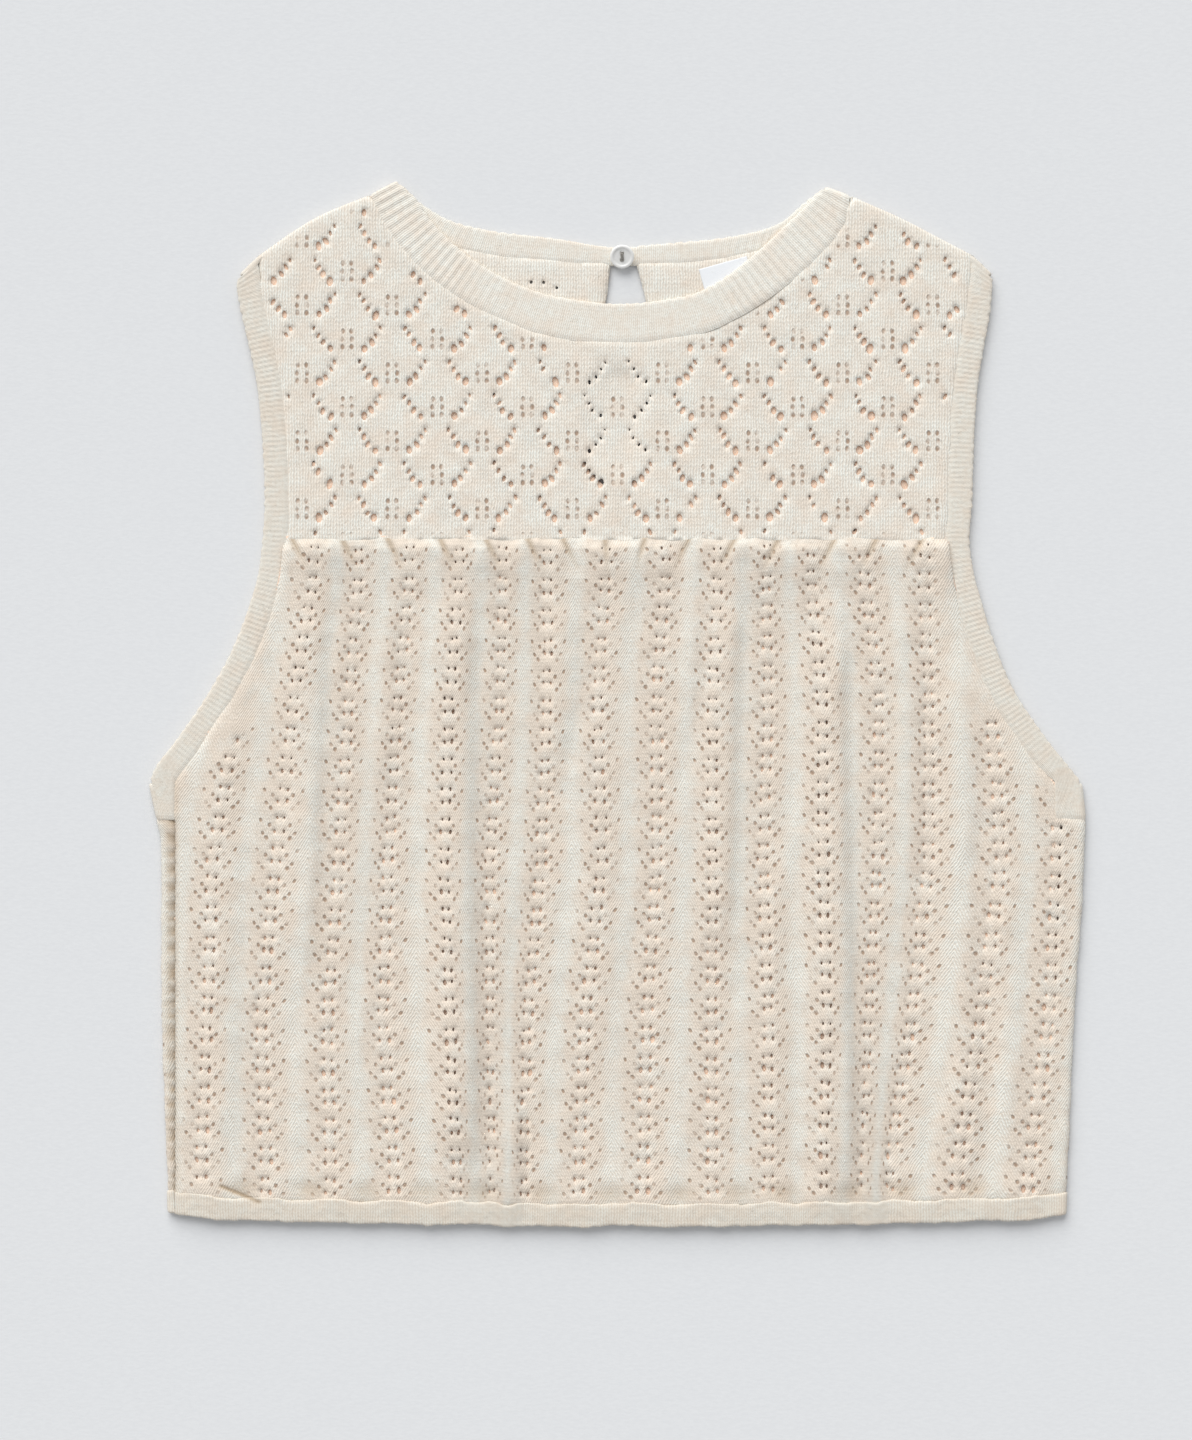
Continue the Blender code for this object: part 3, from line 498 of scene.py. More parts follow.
folds = {
    # soft ridges of the body: x at the yoke and at the hem, foot to the left and right, height, start, end
    "ridges": [(-188, -190, 13, 12, 1.2, 10, -236), (-144, -153, 21, 9, 2.2, 74, -140),
               (-110, -118, 10, 12, 1.2, 70, -60), (-76, -72, 26, 10, 3.3, 74, -238),
               (-48, -48, 14, 5, 2.3, -165, -252), (-28, -35, 8, 15, 1.7, 74, -50),
               (-12, -8, 15, 18, 1.2, 20, -190), (35, 40, 9, 8, 1.7, 74, -20),
               (55, 47, 18, 8, 2.6, 74, -130), (72, 76, 10, 12, 1.3, -60, -236),
               (103, 110, 24, 8, 3.4, 60, -254), (138, 142, 12, 14, 1.4, 70, -90),
               (163, 168, 20, 12, 1.9, 30, -240), (186, 188, 9, 12, 1.1, -60, -236)],
    "fade": 46.0,
    "creases": [-156, -132, -110, -85, -63, -43, -26, -6, 13, 34, 56, 77, 104, 124, 146],
    "creaseLean": 0.5,
    "creaseWidth": 1.6,
    "creaseLength": 10.0,
    "creaseCut": 0.95,      # share of the height that a crease takes away
    "puffHeight": 2.0,      # of the gathers between the creases
    "puffLength": 17.0,     # over which they die away downwards
    "puffRise": 4.4,        # over which they rise from the seam
    "puffStart": 0.6,       # they start this far over the seam, along an uneven line
    "puffPitch": 34.0,      # and are uneven over this width
    "denseBelow": 14.0,     # the mesh is finer this far down from the seam
    "nickRows": (-1.4, -0.7, 0.0, 0.7, 1.4),    # and in rows along the sharp crease
    "boost": 1.25,          # ridges and gathers stand this many times their height
    # one sharp crease over the left end of the hem, and its depth and width
    "nick": [(-190.3, -231.6), (-171.6, -239.3)],
    "nickDepth": 0.9,
    "nickWidth": 0.9,
    # hollows over the hem band
    "pockets": [-180, -148, -121, -92, -65, -35, -4, 30, 58, 79, 112, 137, 170],
    "pocketWidth": 7.5,
    "pocketRise": 4.5,
    "pocketReach": 12.0,
    "pocketHeight": 1.1,
    "ripple": 0.35,         # small unevenness between the folds
    "ripplePitch": 22.0,
    "backShare": 0.8,       # the back's inner face rises by this share of them
    "flatEdge": 14.0,       # all fade out over this width at the side seam and the right edge
    "edgeMargin": 6.0,
}


def pocketDepth(x, y):
    # hollows between the scallops over the hem band: one in the middle of each, falling off like bells
    above = y - (hemY(x) + outline["hemHeight"]) - folds["pocketRise"]
    across = np.abs(np.subtract.outer(x, folds["pockets"])).min(axis=-1)
    return np.exp(-(across / folds["pocketWidth"]) ** 2 - (above / folds["pocketRise"]) ** 2)


def creaseDepth(x, y):
    # one along the short slanting creases between the gathers, falling off like bells
    below = np.clip(outline["yokeSeam"] - y, 0, None)
    lean = folds["creaseLean"] * np.sign(x) * smoothStep(np.abs(x) / 20)
    away = np.abs(np.subtract.outer(x + lean * below, folds["creases"])).min(axis=-1)
    return np.exp(-(away / folds["creaseWidth"]) ** 2 - (below / folds["creaseLength"]) ** 2)


def nickDepth(x, y):
    # one along the sharp crease over the hem, falling off like a bell
    away = nearestOn(np.array(folds["nick"]), np.column_stack([x, y]))[0]
    return np.exp(-(away / folds["nickWidth"]) ** 2)


def foldHeight(x, y):
    # the highest soft ridge at a place, plus gathers that die away below the yoke seam, scallops over the
    # hem and small ripples; nothing at the sides
    top = outline["yokeSeam"] - layer["gap"]
    down = (top - y) / (top - min(outline["hemY"]))
    rise = np.zeros(np.broadcast(x, y).shape)
    for topX, footX, left, right, height, start, end in folds["ridges"]:
        away = x - (topX + (footX - topX) * down)
        foot = np.where(away < 0, left, right)
        ridge = np.cos(0.5 * math.pi * np.clip(np.abs(away) / foot, 0, 1)) ** 2
        along = smoothStep((start - y) / folds["fade"]) * smoothStep((y - end) / folds["fade"])
        rise = np.maximum(rise, height * ridge * along)
    below = np.clip(top - y, 0, None)
    over = y - top + 1.0 * wavyNoise(x, y * 0, 15.0, 7)
    near = smoothStep((folds["puffStart"] - over) / folds["puffRise"])
    near *= np.exp(-(np.clip(below - folds["puffRise"], 0, None) / folds["puffLength"]) ** 2)
    puff = near * (0.7 + 0.4 * wavyNoise(x, y * 0, folds["puffPitch"], 6))
    rise = (rise + folds["puffHeight"] * puff) * (1 - folds["creaseCut"] * creaseDepth(x, y))
    overHem = (y - hemY(x) - outline["hemHeight"]) / folds["pocketReach"]
    rise = rise * folds["boost"] + folds["pocketHeight"] * (np.exp(-overHem**2) - pocketDepth(x, y))
    rise += folds["ripple"] * (1 + wavyNoise(x, y * 0.35, folds["ripplePitch"], 5)) * 0.5
    rise -= folds["nickDepth"] * nickDepth(x, y)
    fromRight = sideX("right", y) - folds["edgeMargin"] - x
    fromLeft = x - outline["seamLeft"]
    return rise * smoothStep(fromLeft / folds["flatEdge"]) * smoothStep(fromRight / folds["flatEdge"])


def wrapped(q, y, depth, side, lift=0.0):
    # cloth that lies flat, turns round the edge at one side and runs back on the other layer; q is
    # measured along the cloth and is x on the flat part, depth is measured inwards from its outer face
    sign = 1 if side == "right" else -1
    turn = sign * sideX(side, y) - turnRadius
    past = sign * q - turn
    angle = np.clip(past / turnRadius, 0, math.pi)
    flat = past - angle * turnRadius
    radius = turnRadius - depth
    x = turn + np.minimum(past, 0) + radius * np.sin(angle) - np.maximum(flat, 0)
    return np.column_stack([sign * x, y, turnRadius + radius * np.cos(angle) + np.where(past < 0, lift, 0)])


def clothEnd(side, y):
    # how far q runs before the turned-over cloth meets the side seam on the other layer
    sign = 1 if side == "right" else -1
    turn = sign * sideX(side, y) - turnRadius
    seam = sign * (outline["seamRight"] if side == "right" else outline["seamLeft"])
    return sign * (turn + math.pi * turnRadius + turn - seam)


def turnedOver(points):
    # the upper layer's shape made into the lower layer's
    return points * [1, 1, -1] + [0, 0, frontTop]


def polygonArea(loop):
    x, y = loop.T
    return 0.5 * abs(np.dot(x, np.roll(y, -1)) - np.dot(y, np.roll(x, -1)))


def asCloth(piece, slot, cut, area, restsOn, *nodes):
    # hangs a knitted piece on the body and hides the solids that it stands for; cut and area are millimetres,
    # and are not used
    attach(piece, body)
    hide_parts(*nodes)


# Neckband

neck = {
    # lines across the band, each from the seam with the yoke to the open edge: x, y, x, y
    "front": [(-118.8, 244.6, -106.2, 251.2), (-114.0, 233.5, -97.6, 243.3), (-107.3, 222.6, -91.5, 234.6),
              (-98.0, 211.6, -84.0, 225.8), (-85.2, 200.4, -73.2, 216.2), (-70.8, 191.3, -61.0, 208.0),
              (-54.0, 183.0, -46.8, 200.9), (-34.8, 176.4, -29.5, 195.4), (-1.0, 172.6, 1.0, 191.9),
              (38.0, 177.0, 32.6, 195.8), (56.9, 184.6, 46.8, 201.8), (70.8, 192.9, 58.5, 209.8),
              (82.8, 201.9, 69.0, 218.6), (93.8, 211.6, 79.0, 227.8), (103.4, 221.4, 87.8, 236.4),
              (109.4, 231.8, 94.4, 243.0), (112.0, 244.0, 99.8, 248.4)],
    "backLeft": [(-118.8, 244.6, -106.2, 251.2), (-104.0, 231.5, -94.5, 240.5), (-86.0, 221.0, -79.0, 231.8),
                 (-60.0, 214.8, -57.0, 226.8), (-34.0, 212.2, -32.5, 223.9), (-12.0, 210.8, -11.6, 220.4),
                 (1.3, 210.3, 1.5, 218.8)],
    "backRight": [(3.3, 210.3, 3.1, 218.8), (14.0, 210.6, 14.0, 220.4), (38.0, 211.8, 38.6, 222.4),
                  (58.0, 214.4, 60.0, 225.4), (76.0, 219.8, 77.6, 230.8), (96.0, 231.0, 88.6, 239.8),
                  (112.0, 244.0, 99.8, 248.4)],
    "turnLeft": (-0.47, 0.88),      # the ways that its folds at the shoulders face
    "turnRight": (0.34, 0.94),
    "foldRoom": 3.0,                # length that a fold takes
    "ribPitch": 4.0,
    "ribHeight": 0.42,
    "thick": 1.9,
    "step": 0.5,                    # between stations along the band
    "labelLift": 0.75,              # it lies this much higher over the label
    "smoothAt": -15.0,              # ribs hardly show round here
    "smoothHalf": 25.0,             # this far to either side
    "smoothBlend": 60.0,            # and come back over this length
    "smoothRibs": 0.15,             # share of their height that is left there
    "cut": (560.0, 19.5),           # flat size of the strip
    "laidWidth": 16.5,
}

band = {
    "round": 1.1,                   # width over which the free edge rounds down
    "ribFade": 2.2,                 # ribs fade out this near to an edge
    "innerRib": 0.35,               # share of their height on the inner face
    "ragged": 0.28,                 # how far the free edge wanders, and over what length
    "raggedPitch": 4.5,
    "clearance": 0.05,              # within the room of the two layers
}

label = {
    "corner": (39.1, 208.6),        # top left
    "width": 24.0,
    "height": 12.0,
    "turn": math.radians(15.5),
    "over": 0.22,           # over the back yoke's inside, and so much again at its middle, where it curls
    "half": (0.12, 0.1),    # from its middle to the upper face and to the lower one
}


def turnedBy(x, y, angle):
    return x * math.cos(angle) - y * math.sin(angle), x * math.sin(angle) + y * math.cos(angle)


def overLabel(x, y):
    # one over the label, falling to nothing a little way off
    middle = turnedBy(label["width"] / 2, -label["height"] / 2, label["turn"])
    away = np.hypot(x - label["corner"][0] - middle[0], y - label["corner"][1] - middle[1])
    return smoothStep(1.6 - away / 22)


def rungs(name, spacing):
    # lines across the band, evenly spaced along it: seam point and open point of each
    curve = smoothCurve(neck[name], 8)
    middle = (curve[:, :2] + curve[:, 2:]) / 2
    return evenSteps(np.hstack([middle, curve]), spacing)[:, 2:]


def foldStations(rung, outward, angles):
    # stations round a fold: the same line across, at turning angles about the fold's middle
    outward = np.array(outward) / np.linalg.norm(outward)
    line = np.tile(np.asarray(rung) - np.tile(outward * turnRadius, 2), (len(angles), 1))
    return np.column_stack([line, np.tile(outward, (len(angles), 1)), angles])


def flatStations(lines, angle):
    # stations on the upper layer (angle 0) or the lower one (angle pi)
    return np.column_stack([lines, np.zeros((len(lines), 2)), np.full(len(lines), angle)])


def bandSections(stations, across, thick, ribPitch, ribHeight, lift=None, closed=False, clear=1.0):
    # a band as cross-sections: across runs over the outer face and back over the inner one, in shares of
    # the width; the free edge is round and a little ragged, the seam's dips, and ribs are cosine ridges
    # along the run, offset on the inner face; clear is the share of their height that shows
    seam, free, outward, angle = stations[:, :2], stations[:, 2:4], stations[:, 4:6], stations[:, 6]
    middle = (seam + free) / 2
    step = np.hypot(np.linalg.norm(np.diff(middle, axis=0), axis=1), turnRadius * np.diff(angle))
    run = np.concatenate([[0], np.cumsum(step)])
    if closed:
        run *= round(run[-1] / ribPitch) * ribPitch / run[-1] * (1 - 1 / len(run))
    width = np.linalg.norm(free - seam, axis=1)[:, None]
    inner = np.arange(2 * len(across) - 2) >= len(across)
    share = np.concatenate([across, across[-2:0:-1]])[None]
    fromEdge = np.minimum(share, 1 - share) * width
    half = thick / 2 * np.sqrt(1 - (1 - np.clip((1 - share) * width / band["round"], 0, 1)) ** 2)
    half = half - layer["bandDip"] * (1 - smoothStep(share * width / layer["bandReach"]))
    wave = 2 * math.pi * run[:, None] / ribPitch
    rib = ribHeight * (0.5 + 0.5 * np.cos(wave + np.where(inner, math.pi, 0)[None]))
    clear = clear * (0.75 + 0.35 * wavyNoise(run, run * 0, 45.0, 51))
    rib *= smoothStep(fromEdge / band["ribFade"]) * clear[:, None]
    fromMiddle = turnRadius - thick / 2 - band["clearance"]
    radius = fromMiddle + np.where(inner[None], -half - rib * band["innerRib"], half + rib)
    wander = wavyNoise(run, run * 0, band["raggedPitch"], 52, octaves=2)[:, None]
    ragged = band["ragged"] * wander / width
    place = seam[:, None] + (free - seam)[:, None] * (share * (1 + ragged * share))[..., None]
    place = place + outward[:, None] * (radius * np.sin(angle)[:, None])[..., None]
    z = turnRadius + radius * np.cos(angle)[:, None]
    if lift is not None:
        z = z + lift[:, None]
    uv = np.stack([np.broadcast_to(run[:, None] * 2 / ribPitch, radius.shape), share * width / 1.7], axis=2)
    return np.concatenate([place, z[..., None]], axis=2), uv.reshape(-1, 2)


def makeNeckband():
    # one ribbed strip: back right, over the right shoulder, along the front, and over the left one
    skip = int(neck["foldRoom"] / neck["step"])
    half = np.linspace(0, math.pi, 13)
    front = rungs("front", neck["step"])[::-1]
    right, left = rungs("backRight", neck["step"]), rungs("backLeft", neck["step"])
    stations = np.vstack([flatStations(right[:-skip], math.pi),
                          foldStations(right[-1], neck["turnRight"], half[::-1]),
                          flatStations(front[skip:-skip], 0.0),
                          foldStations(left[0], neck["turnLeft"], half),
                          flatStations(left[skip:], math.pi)])
    middle = (stations[:, :2] + stations[:, 2:4]) / 2
    lift = neck["labelLift"] * overLabel(middle[:, 0], middle[:, 1]) * (stations[:, 6] < 0.1)
    across = np.array([0, 0.012, 0.04, 0.1, 0.2, 0.35, 0.5, 0.65, 0.8, 0.9, 0.96, 0.988, 1.0])
    past = (np.abs(middle[:, 0] - neck["smoothAt"]) - neck["smoothHalf"]) / neck["smoothBlend"]
    clear = neck["smoothRibs"] + (1 - neck["smoothRibs"]) * smoothStep(past)
    sections, uv = bandSections(stations, across, neck["thick"], neck["ribPitch"], neck["ribHeight"], lift,
                                clear=clear)
    points, faces = sweptRing(sections, closed=False)
    piece = makePiece("neck_ribbing", points, faces, ribKnit, uv)
    asCloth(piece, "rib_knit", neck["cut"], neck["cut"][0] * neck["laidWidth"], ["yoke_front", "yoke_back"],
            "neckband")
    return piece


# Armhole bands

armBand = {
    "ribPitch": 2.4,
    "ribHeight": 0.2,
    "thick": 1.8,
    "step": 0.48,           # between stations along the band
    "turn": (0.70, 0.71),   # the way that its fold at the right shoulder faces
    "shoulderEnd": {"left": (-171.6, 216.0), "right": (170.2, 215.8)},
    "sideEnd": {"left": (-221.5, -56.0), "right": (225.2, -56.0)},
    "blend": 14.0,          # length over which its inner edge is drawn to the end at the shoulder
    "foldRoom": 3.0,
    "cut": (620.0, 14.0),   # flat size, and area
    "area": 8300.0,
}


def makeArmBand(side):
    # a flattened ring: down the front, round the side, up the back and over the shoulder
    sign = 1 if side == "left" else -1
    seam = outline["seamLeft"] if side == "left" else outline["seamRight"]
    step, skip = armBand["step"], int(armBand["foldRoom"] / armBand["step"])
    free = evenSteps(armholePath(side), step)
    inner = movedAside(free, sign * outline["bandWidth"])
    upper = free[:, 1] > outline["bandSplay"]
    corner = [inner[upper][-1], (seam, outline["bandCorner"]), (seam, outline["bandFoot"]),
              armBand["sideEnd"][side]]
    low = evenSteps(np.array(corner), 0.5)
    pick = np.linspace(0, len(low) - 1, np.count_nonzero(~upper) + 1)[1:]
    low = np.column_stack([np.interp(pick, np.arange(len(low)), column) for column in low.T])
    share = smoothStep(1 - np.arange(len(free)) * step / armBand["blend"])[:, None]
    inner = inner + (np.array(armBand["shoulderEnd"][side]) - inner[0]) * share
    lines = np.hstack([np.vstack([inner[upper], low]), free])
    half = np.linspace(0, math.pi, 13)
    flat = lines[skip:-skip]
    outward = (-sign * armBand["turn"][0], armBand["turn"][1])
    stations = np.vstack([foldStations(lines[0], outward, half[::-1]), flatStations(flat, 0.0),
                          foldStations(lines[-1], (-sign, 0.0), half), flatStations(flat[::-1], math.pi)])
    across = np.array([0, 0.02, 0.06, 0.15, 0.3, 0.5, 0.7, 0.85, 0.94, 0.98, 1.0])
    sections, uv = bandSections(stations, across, armBand["thick"], armBand["ribPitch"],
                                armBand["ribHeight"], closed=True)
    points, faces = sweptRing(sections, closed=True)
    # painted shade over the whole band
    piece = makePiece(f"arm_ribbing_{side}", points, faces, ribKnit, uv, paintedShade=shadeAmount["armBand"])
    asCloth(piece, "rib_knit", armBand["cut"], armBand["area"], ["yoke_front", "yoke_back"],
            f"armhole_band_{side}")
    return piece


# Yokes

yokeLace = {
    "motif": 43.26,         # from one block of eyelets to the next
    "tier": 16.3,           # from one tier to the next, moved half a motif
    "firstX": -151.4,
    "firstY": 89.0,
    "stitch": 2.704,
    "row": 2.0375,
    "lean": math.radians(24),
    # eyelets to the right of a block's middle: stitches, rows, width, height, share of the lean
    "chart": [(3.0, 0.0, 3.1, 4.5, 0.3), (4.3, 1.35, 2.4, 3.8, 1), (5.1, 3.1, 1.9, 3.4, 1.1),
              (5.85, 4.8, 1.6, 2.9, 0.7)],
    "margin": 3.6,          # cloth left between an eyelet and the yoke's edge
    "backShift": (4, 1),    # stitches and rows that the back's lace is offset
    "backLaceTop": 188.0,   # above this the inside of the back is plain, where it shows in the neck
    "backNeck": [(-41.0, 202.3), (-35.8, 202.3), (-29.5, 199.9)],
    "fill": 2.4,
    "coverFrom": 4.0,       # so far below the neck opening the front covers the inside of the back
    "inwardsLeft": (0.48, -0.88),   # across the shoulder lines, towards the chest
    "inwardsRight": (-0.43, -0.9),
    "cut": (342.0, 170.0),  # flat size of each panel
}

keyhole = {
    # its sides, from the neckband down to the round foot
    "y": [210.0, 192.2, 174.5, 149.0, 126.5, 112.0],
    "left": [-3.4, -5.8, -12.5, -19.4, -18.8, -13.2],
    "right": [9.4, 14.0, 16.6, 18.2, 16.4, 10.6],
    "foot": (-1.5, 103.0),
    "plain": 4.0,           # plain knitting round it
    "sag": 1.3,             # the front sinks into it this far
    "sagFrom": 167.0,       # from this height down
    "sagReach": 14.0,
    "closed": 0.5,          # the front's eyelets are smaller over it
}


def shoulderLine(side):
    return evenSteps(smoothCurve(outline["shoulderLeft" if side == "left" else "shoulderRight"], 6), 2.5)


def shoulderRows():
    # close rows of points along the shoulders, where the cloth turns over
    rows = []
    for side, inwards in (("left", yokeLace["inwardsLeft"]), ("right", yokeLace["inwardsRight"])):
        line = shoulderLine(side)[1:-1]
        rows += [line + np.array(inwards) * depth for depth in (0.15, 0.5, 1.0, 1.6)]
    return rows


def yokeOutline(neckEdge):
    # round the armholes, shoulders and the given neck edge, tucked in under the bands
    heights = np.append(np.arange(outline["yokeSeam"] - layer["tuck"], outline["shoulderY"], 2.5),
                        outline["shoulderY"])
    rightEdge = np.column_stack([bandEdge("right", -layer["tuck"])(heights), heights])
    leftEdge = np.column_stack([bandEdge("left", -layer["tuck"])(heights), heights])[::-1]
    return np.vstack([rightEdge, shoulderLine("right"), neckEdge, shoulderLine("left")[::-1], leftEdge])


def keyholeEdge():
    # from its upper right corner, round its foot and up to its upper left corner
    right = list(zip(keyhole["right"], keyhole["y"]))
    left = list(zip(keyhole["left"], keyhole["y"]))[::-1]
    return evenSteps(smoothCurve(right + [keyhole["foot"]] + left, 6), 1.6)


def trellisEyelets(loop, shift=(0, 0)):
    # blocks of small eyelets in tiers, each tier half a motif along, joined by slanted lines of larger ones
    found = []
    for tier in range(-1, 11):
        for block in range(-2, 10):
            x = yokeLace["firstX"] + ((tier % 2) / 2 + block) * yokeLace["motif"]
            x += shift[0] * yokeLace["stitch"]
            y = yokeLace["firstY"] + tier * yokeLace["tier"] + shift[1] * yokeLace["row"]
            for way in (-1, 1):
                for stitches, rows, width, height, leans in yokeLace["chart"]:
                    found.append((x + way * stitches * yokeLace["stitch"], y + rows * yokeLace["row"], width,
                                  height, way * leans * yokeLace["lean"]))
    found = np.array(found)
    found = found[insideOf(loop, found[:, :2])]
    room = nearestOn(loop, found[:, :2], closed=True)[0]
    return found[room > yokeLace["margin"] + found[:, 3] / 2]


def makeYoke(front):
    # flat lace whose outer face sinks at the eyelets and seams, and rounds down at the shoulders to meet
    # the other yoke
    if front:
        neckEdge = movedAside(rungs("front", 2.5)[::-1, :2], -layer["tuck"])[2:-2]
        loop = yokeOutline(neckEdge)
        eyelets = trellisEyelets(loop)
    else:
        right, left = rungs("backRight", 2.5)[::-1, :2], rungs("backLeft", 2.5)[::-1, :2]
        right, left = movedAside(right, -layer["tuck"])[2:], movedAside(left, -layer["tuck"])[:-2]
        slot = keyholeEdge()
        loop = yokeOutline(np.vstack([right[right[:, 0] > slot[0, 0] + 1], slot,
                                      left[left[:, 0] < slot[-1, 0] - 1]]))
        eyelets = trellisEyelets(loop, yokeLace["backShift"])
        eyelets = eyelets[eyelets[:, 1] < yokeLace["backLaceTop"]]
        eyelets = eyelets[nearestOn(slot, eyelets[:, :2])[0] > keyhole["plain"] + eyelets[:, 3] / 2]
        eyelets = np.vstack([eyelets, [(x, y, 1.7, 2.0, 0) for x, y in yokeLace["backNeck"]]])
    eyelets = unevenEyelets(eyelets, 3 if front else 4, stray=0.25, smallest=0.78)
    if front:
        eyelets[insideOf(keyholeEdge(), eyelets[:, :2]), 2:4] *= keyhole["closed"]
    fill = fillPoints(loop, yokeLace["fill"], eyelets)
    fill = fill[np.minimum(*[nearestOn(shoulderLine(name), fill)[0] for name in ("left", "right")]) > 2.4]
    flat, faces = cutSheet(loop, eyeletRings(eyelets), np.vstack([fill, *shoulderRows()]))
    away = np.minimum(*[nearestOn(shoulderLine(name), flat)[0] for name in ("left", "right")])
    inwards = np.where(flat[:, :1] > 0, yokeLace["inwardsRight"], yokeLace["inwardsLeft"])
    sine = 1 - np.clip(away / turnRadius, 0, 1)
    bend = np.sqrt(1 - sine**2)
    fromEdge = nearestOn(loop, flat, closed=True)[0]
    dip = layer["seamDip"] * (1 - smoothStep(fromEdge / layer["seamReach"])) * smoothStep(away / 4)
    if front:
        slot = keyholeEdge()
        below = smoothStep((keyhole["sagFrom"] - flat[:, 1]) / keyhole["sagReach"])
        sag = nearestOn(slot, flat)[0] * insideOf(slot, flat) * below
        dip += keyhole["sag"] * smoothStep(sag / keyhole["sagReach"])
    hollow = dipAtEyelets(flat, eyelets)
    wave = layer["wave"] * wavyNoise(flat[:, 0], flat[:, 1], 26.0, 11 if front else 12)
    sink = (dip + layer["eyeletDip"] * hollow - wave) * bend
    outer = np.column_stack([flat, turnRadius + (turnRadius - sink) * bend])
    if front:
        covered, thin = np.ones(len(flat)), layer["cloth"]
    else:
        opening = np.interp(flat[:, 0], *np.array(neck["front"]).T[2:])
        covered = smoothStep((opening - yokeLace["coverFrom"] - flat[:, 1]) / 4)
        thin = layer["backCloth"] + layer["backFluff"] * covered * bend - layer["edgeThin"] * dip
    thin = thin - layer["eyeletThin"] * hollow
    inner = np.column_stack([flat + inwards * (thin * sine)[:, None],
                             turnRadius + (turnRadius - np.maximum(sink, 0) - thin) * bend])
    if not front:
        outer, inner = turnedOver(outer), turnedOver(inner)
    points, faces = closedShell(faces, outer, inner)
    uv = np.column_stack([(flat[:, 0] - yokeLace["firstX"]) / yokeLace["stitch"],
                          (flat[:, 1] - yokeLace["firstY"]) / yokeLace["row"]])
    laced = smoothStep((fromEdge - layer["tuck"] - 2.0) / 1.5)
    if not front:
        laced *= smoothStep((yokeLace["backLaceTop"] - flat[:, 1]) / 3)
        laced *= smoothStep((nearestOn(slot, flat)[0] - keyhole["plain"]) / 2)
    # warm painted shade round the eyelets, and on the inner face wherever the other layer covers it
    warmth = np.concatenate([layer["eyeletGlow"] * hollow**2, covered])
    name = "yoke_front" if front else "yoke_back"
    piece = makePiece(name, points, faces, trellisKnit, np.vstack([uv, uv]), warmth,
                      np.concatenate([laced, 0 * laced]))
    asCloth(piece, "lace_knit", yokeLace["cut"], polygonArea(loop), ["yoke_back"] if front else [],
            "front_yoke" if front else "back_yoke")
    return piece


# Body

bodyLace = {
    # middles of the fan columns from left to right, as x at five heights
    "heights": [-221.5, -151.9, -75.1, 1.7, 61.7],
    "columns": [(-228.0, -226.0, -224.0, -212.0, -208.0), (-199.9, -196.6, -194.2, -181.2, -176.4),
                (-168.7, -171.1, -163.9, -155.3, -145.2), (-138.0, -139.0, -133.2, -128.9, -124.1),
                (-107.3, -113.0, -110.2, -105.4, -99.6), (-76.6, -79.9, -82.8, -80.4, -75.6),
                (-60.2, -61.2, -61.2, -56.4, -55.0), (-45.4, -43.9, -36.7, -33.8, -33.8),
                (-18.5, -15.6, -7.4, -9.8, -5.5), (12.2, 14.2, 19.0, 18.5, 23.3),
                (45.8, 45.4, 45.8, 45.8, 48.2), (72.7, 72.2, 69.8, 72.2, 71.8),
                (99.1, 100.6, 98.6, 98.2, 92.4), (118.3, 120.2, 125.0, 126.0, 118.3),
                (129.8, 140.4, 149.0, 149.0, 147.1), (163.0, 174.0, 184.6, 178.8, 181.2),
                (197.5, 207.1, 210.5, 211.4, 212.4), (226.0, 236.0, 239.0, 240.0, 242.0)],
    # how far each column's rows lie above the first one's
    "phases": [0.6, 1.0, 0.5, -0.5, 0.8, 0.0, 0.5, -0.6, 0.4, 1.0, 0.0, 1.6, 3.4, 3.0, 2.4, 2.7, 2.0, 1.4],
    "columnStitches": 12,
    "tier": 14.4,
    "tierRows": 8,
    "firstTier": -220.0,
    # eyelets to the right of a fan's middle: stitches, height above its tier, width, height, lean
    "fan": [(0.92, 0.0, 2.0, 3.3, 4), (0.82, 6.1, 1.5, 2.5, 3)],
    "sizeTop": 0.72,        # they are smaller in the gathers under the yoke
    "sizeFoot": 1.06,
    # the lace ends at these x towards the armholes
    "limitY": [-45.0, -43.4, -32.0, -30.0, -12.7, -9.0, -3.6, 17.5, 34.3, 69.6],
    "limitLeft": [-230.0, -201.4, -197.0, -195.6, -182.2, -176.0, -167.8, -166.8, -165.8, -155.8],
    "limitRight": [210.0, 207.0, 192.0, 190.0, 183.5, 182.0, 161.0, 156.7, 155.0, 152.4],
    "fill": 2.7,
    "fineFill": 1.3,
    "dullness": 0.06,       # the body is a little darker than the yoke
    "margin": 3.0,          # cloth left between an eyelet and the body's edge
    "cut": (470.0, 326.0),  # flat size of each panel
}


def columnLines(y):
    # x of every fan column at each height
    tracks = np.array(bodyLace["columns"])
    return np.column_stack([np.interp(y, bodyLace["heights"], track) for track in tracks])


def stitchAt(x, y):
    # stitches from the first column, twelve to a column, counted along the cloth
    lines = columnLines(y)
    column = np.clip((x[:, None] >= lines).sum(axis=1) - 1, 0, lines.shape[1] - 2)
    rows = np.arange(len(x))
    left, right = lines[rows, column], lines[rows, column + 1]
    return bodyLace["columnStitches"] * (column + (x - left) / (right - left))


def rowAt(stitch, y):
    # rows from the first tier, following each column's phase
    column = stitch / bodyLace["columnStitches"]
    phase = np.interp(column, np.arange(len(bodyLace["phases"])), bodyLace["phases"])
    return (y - bodyLace["firstTier"] - phase) * bodyLace["tierRows"] / bodyLace["tier"]


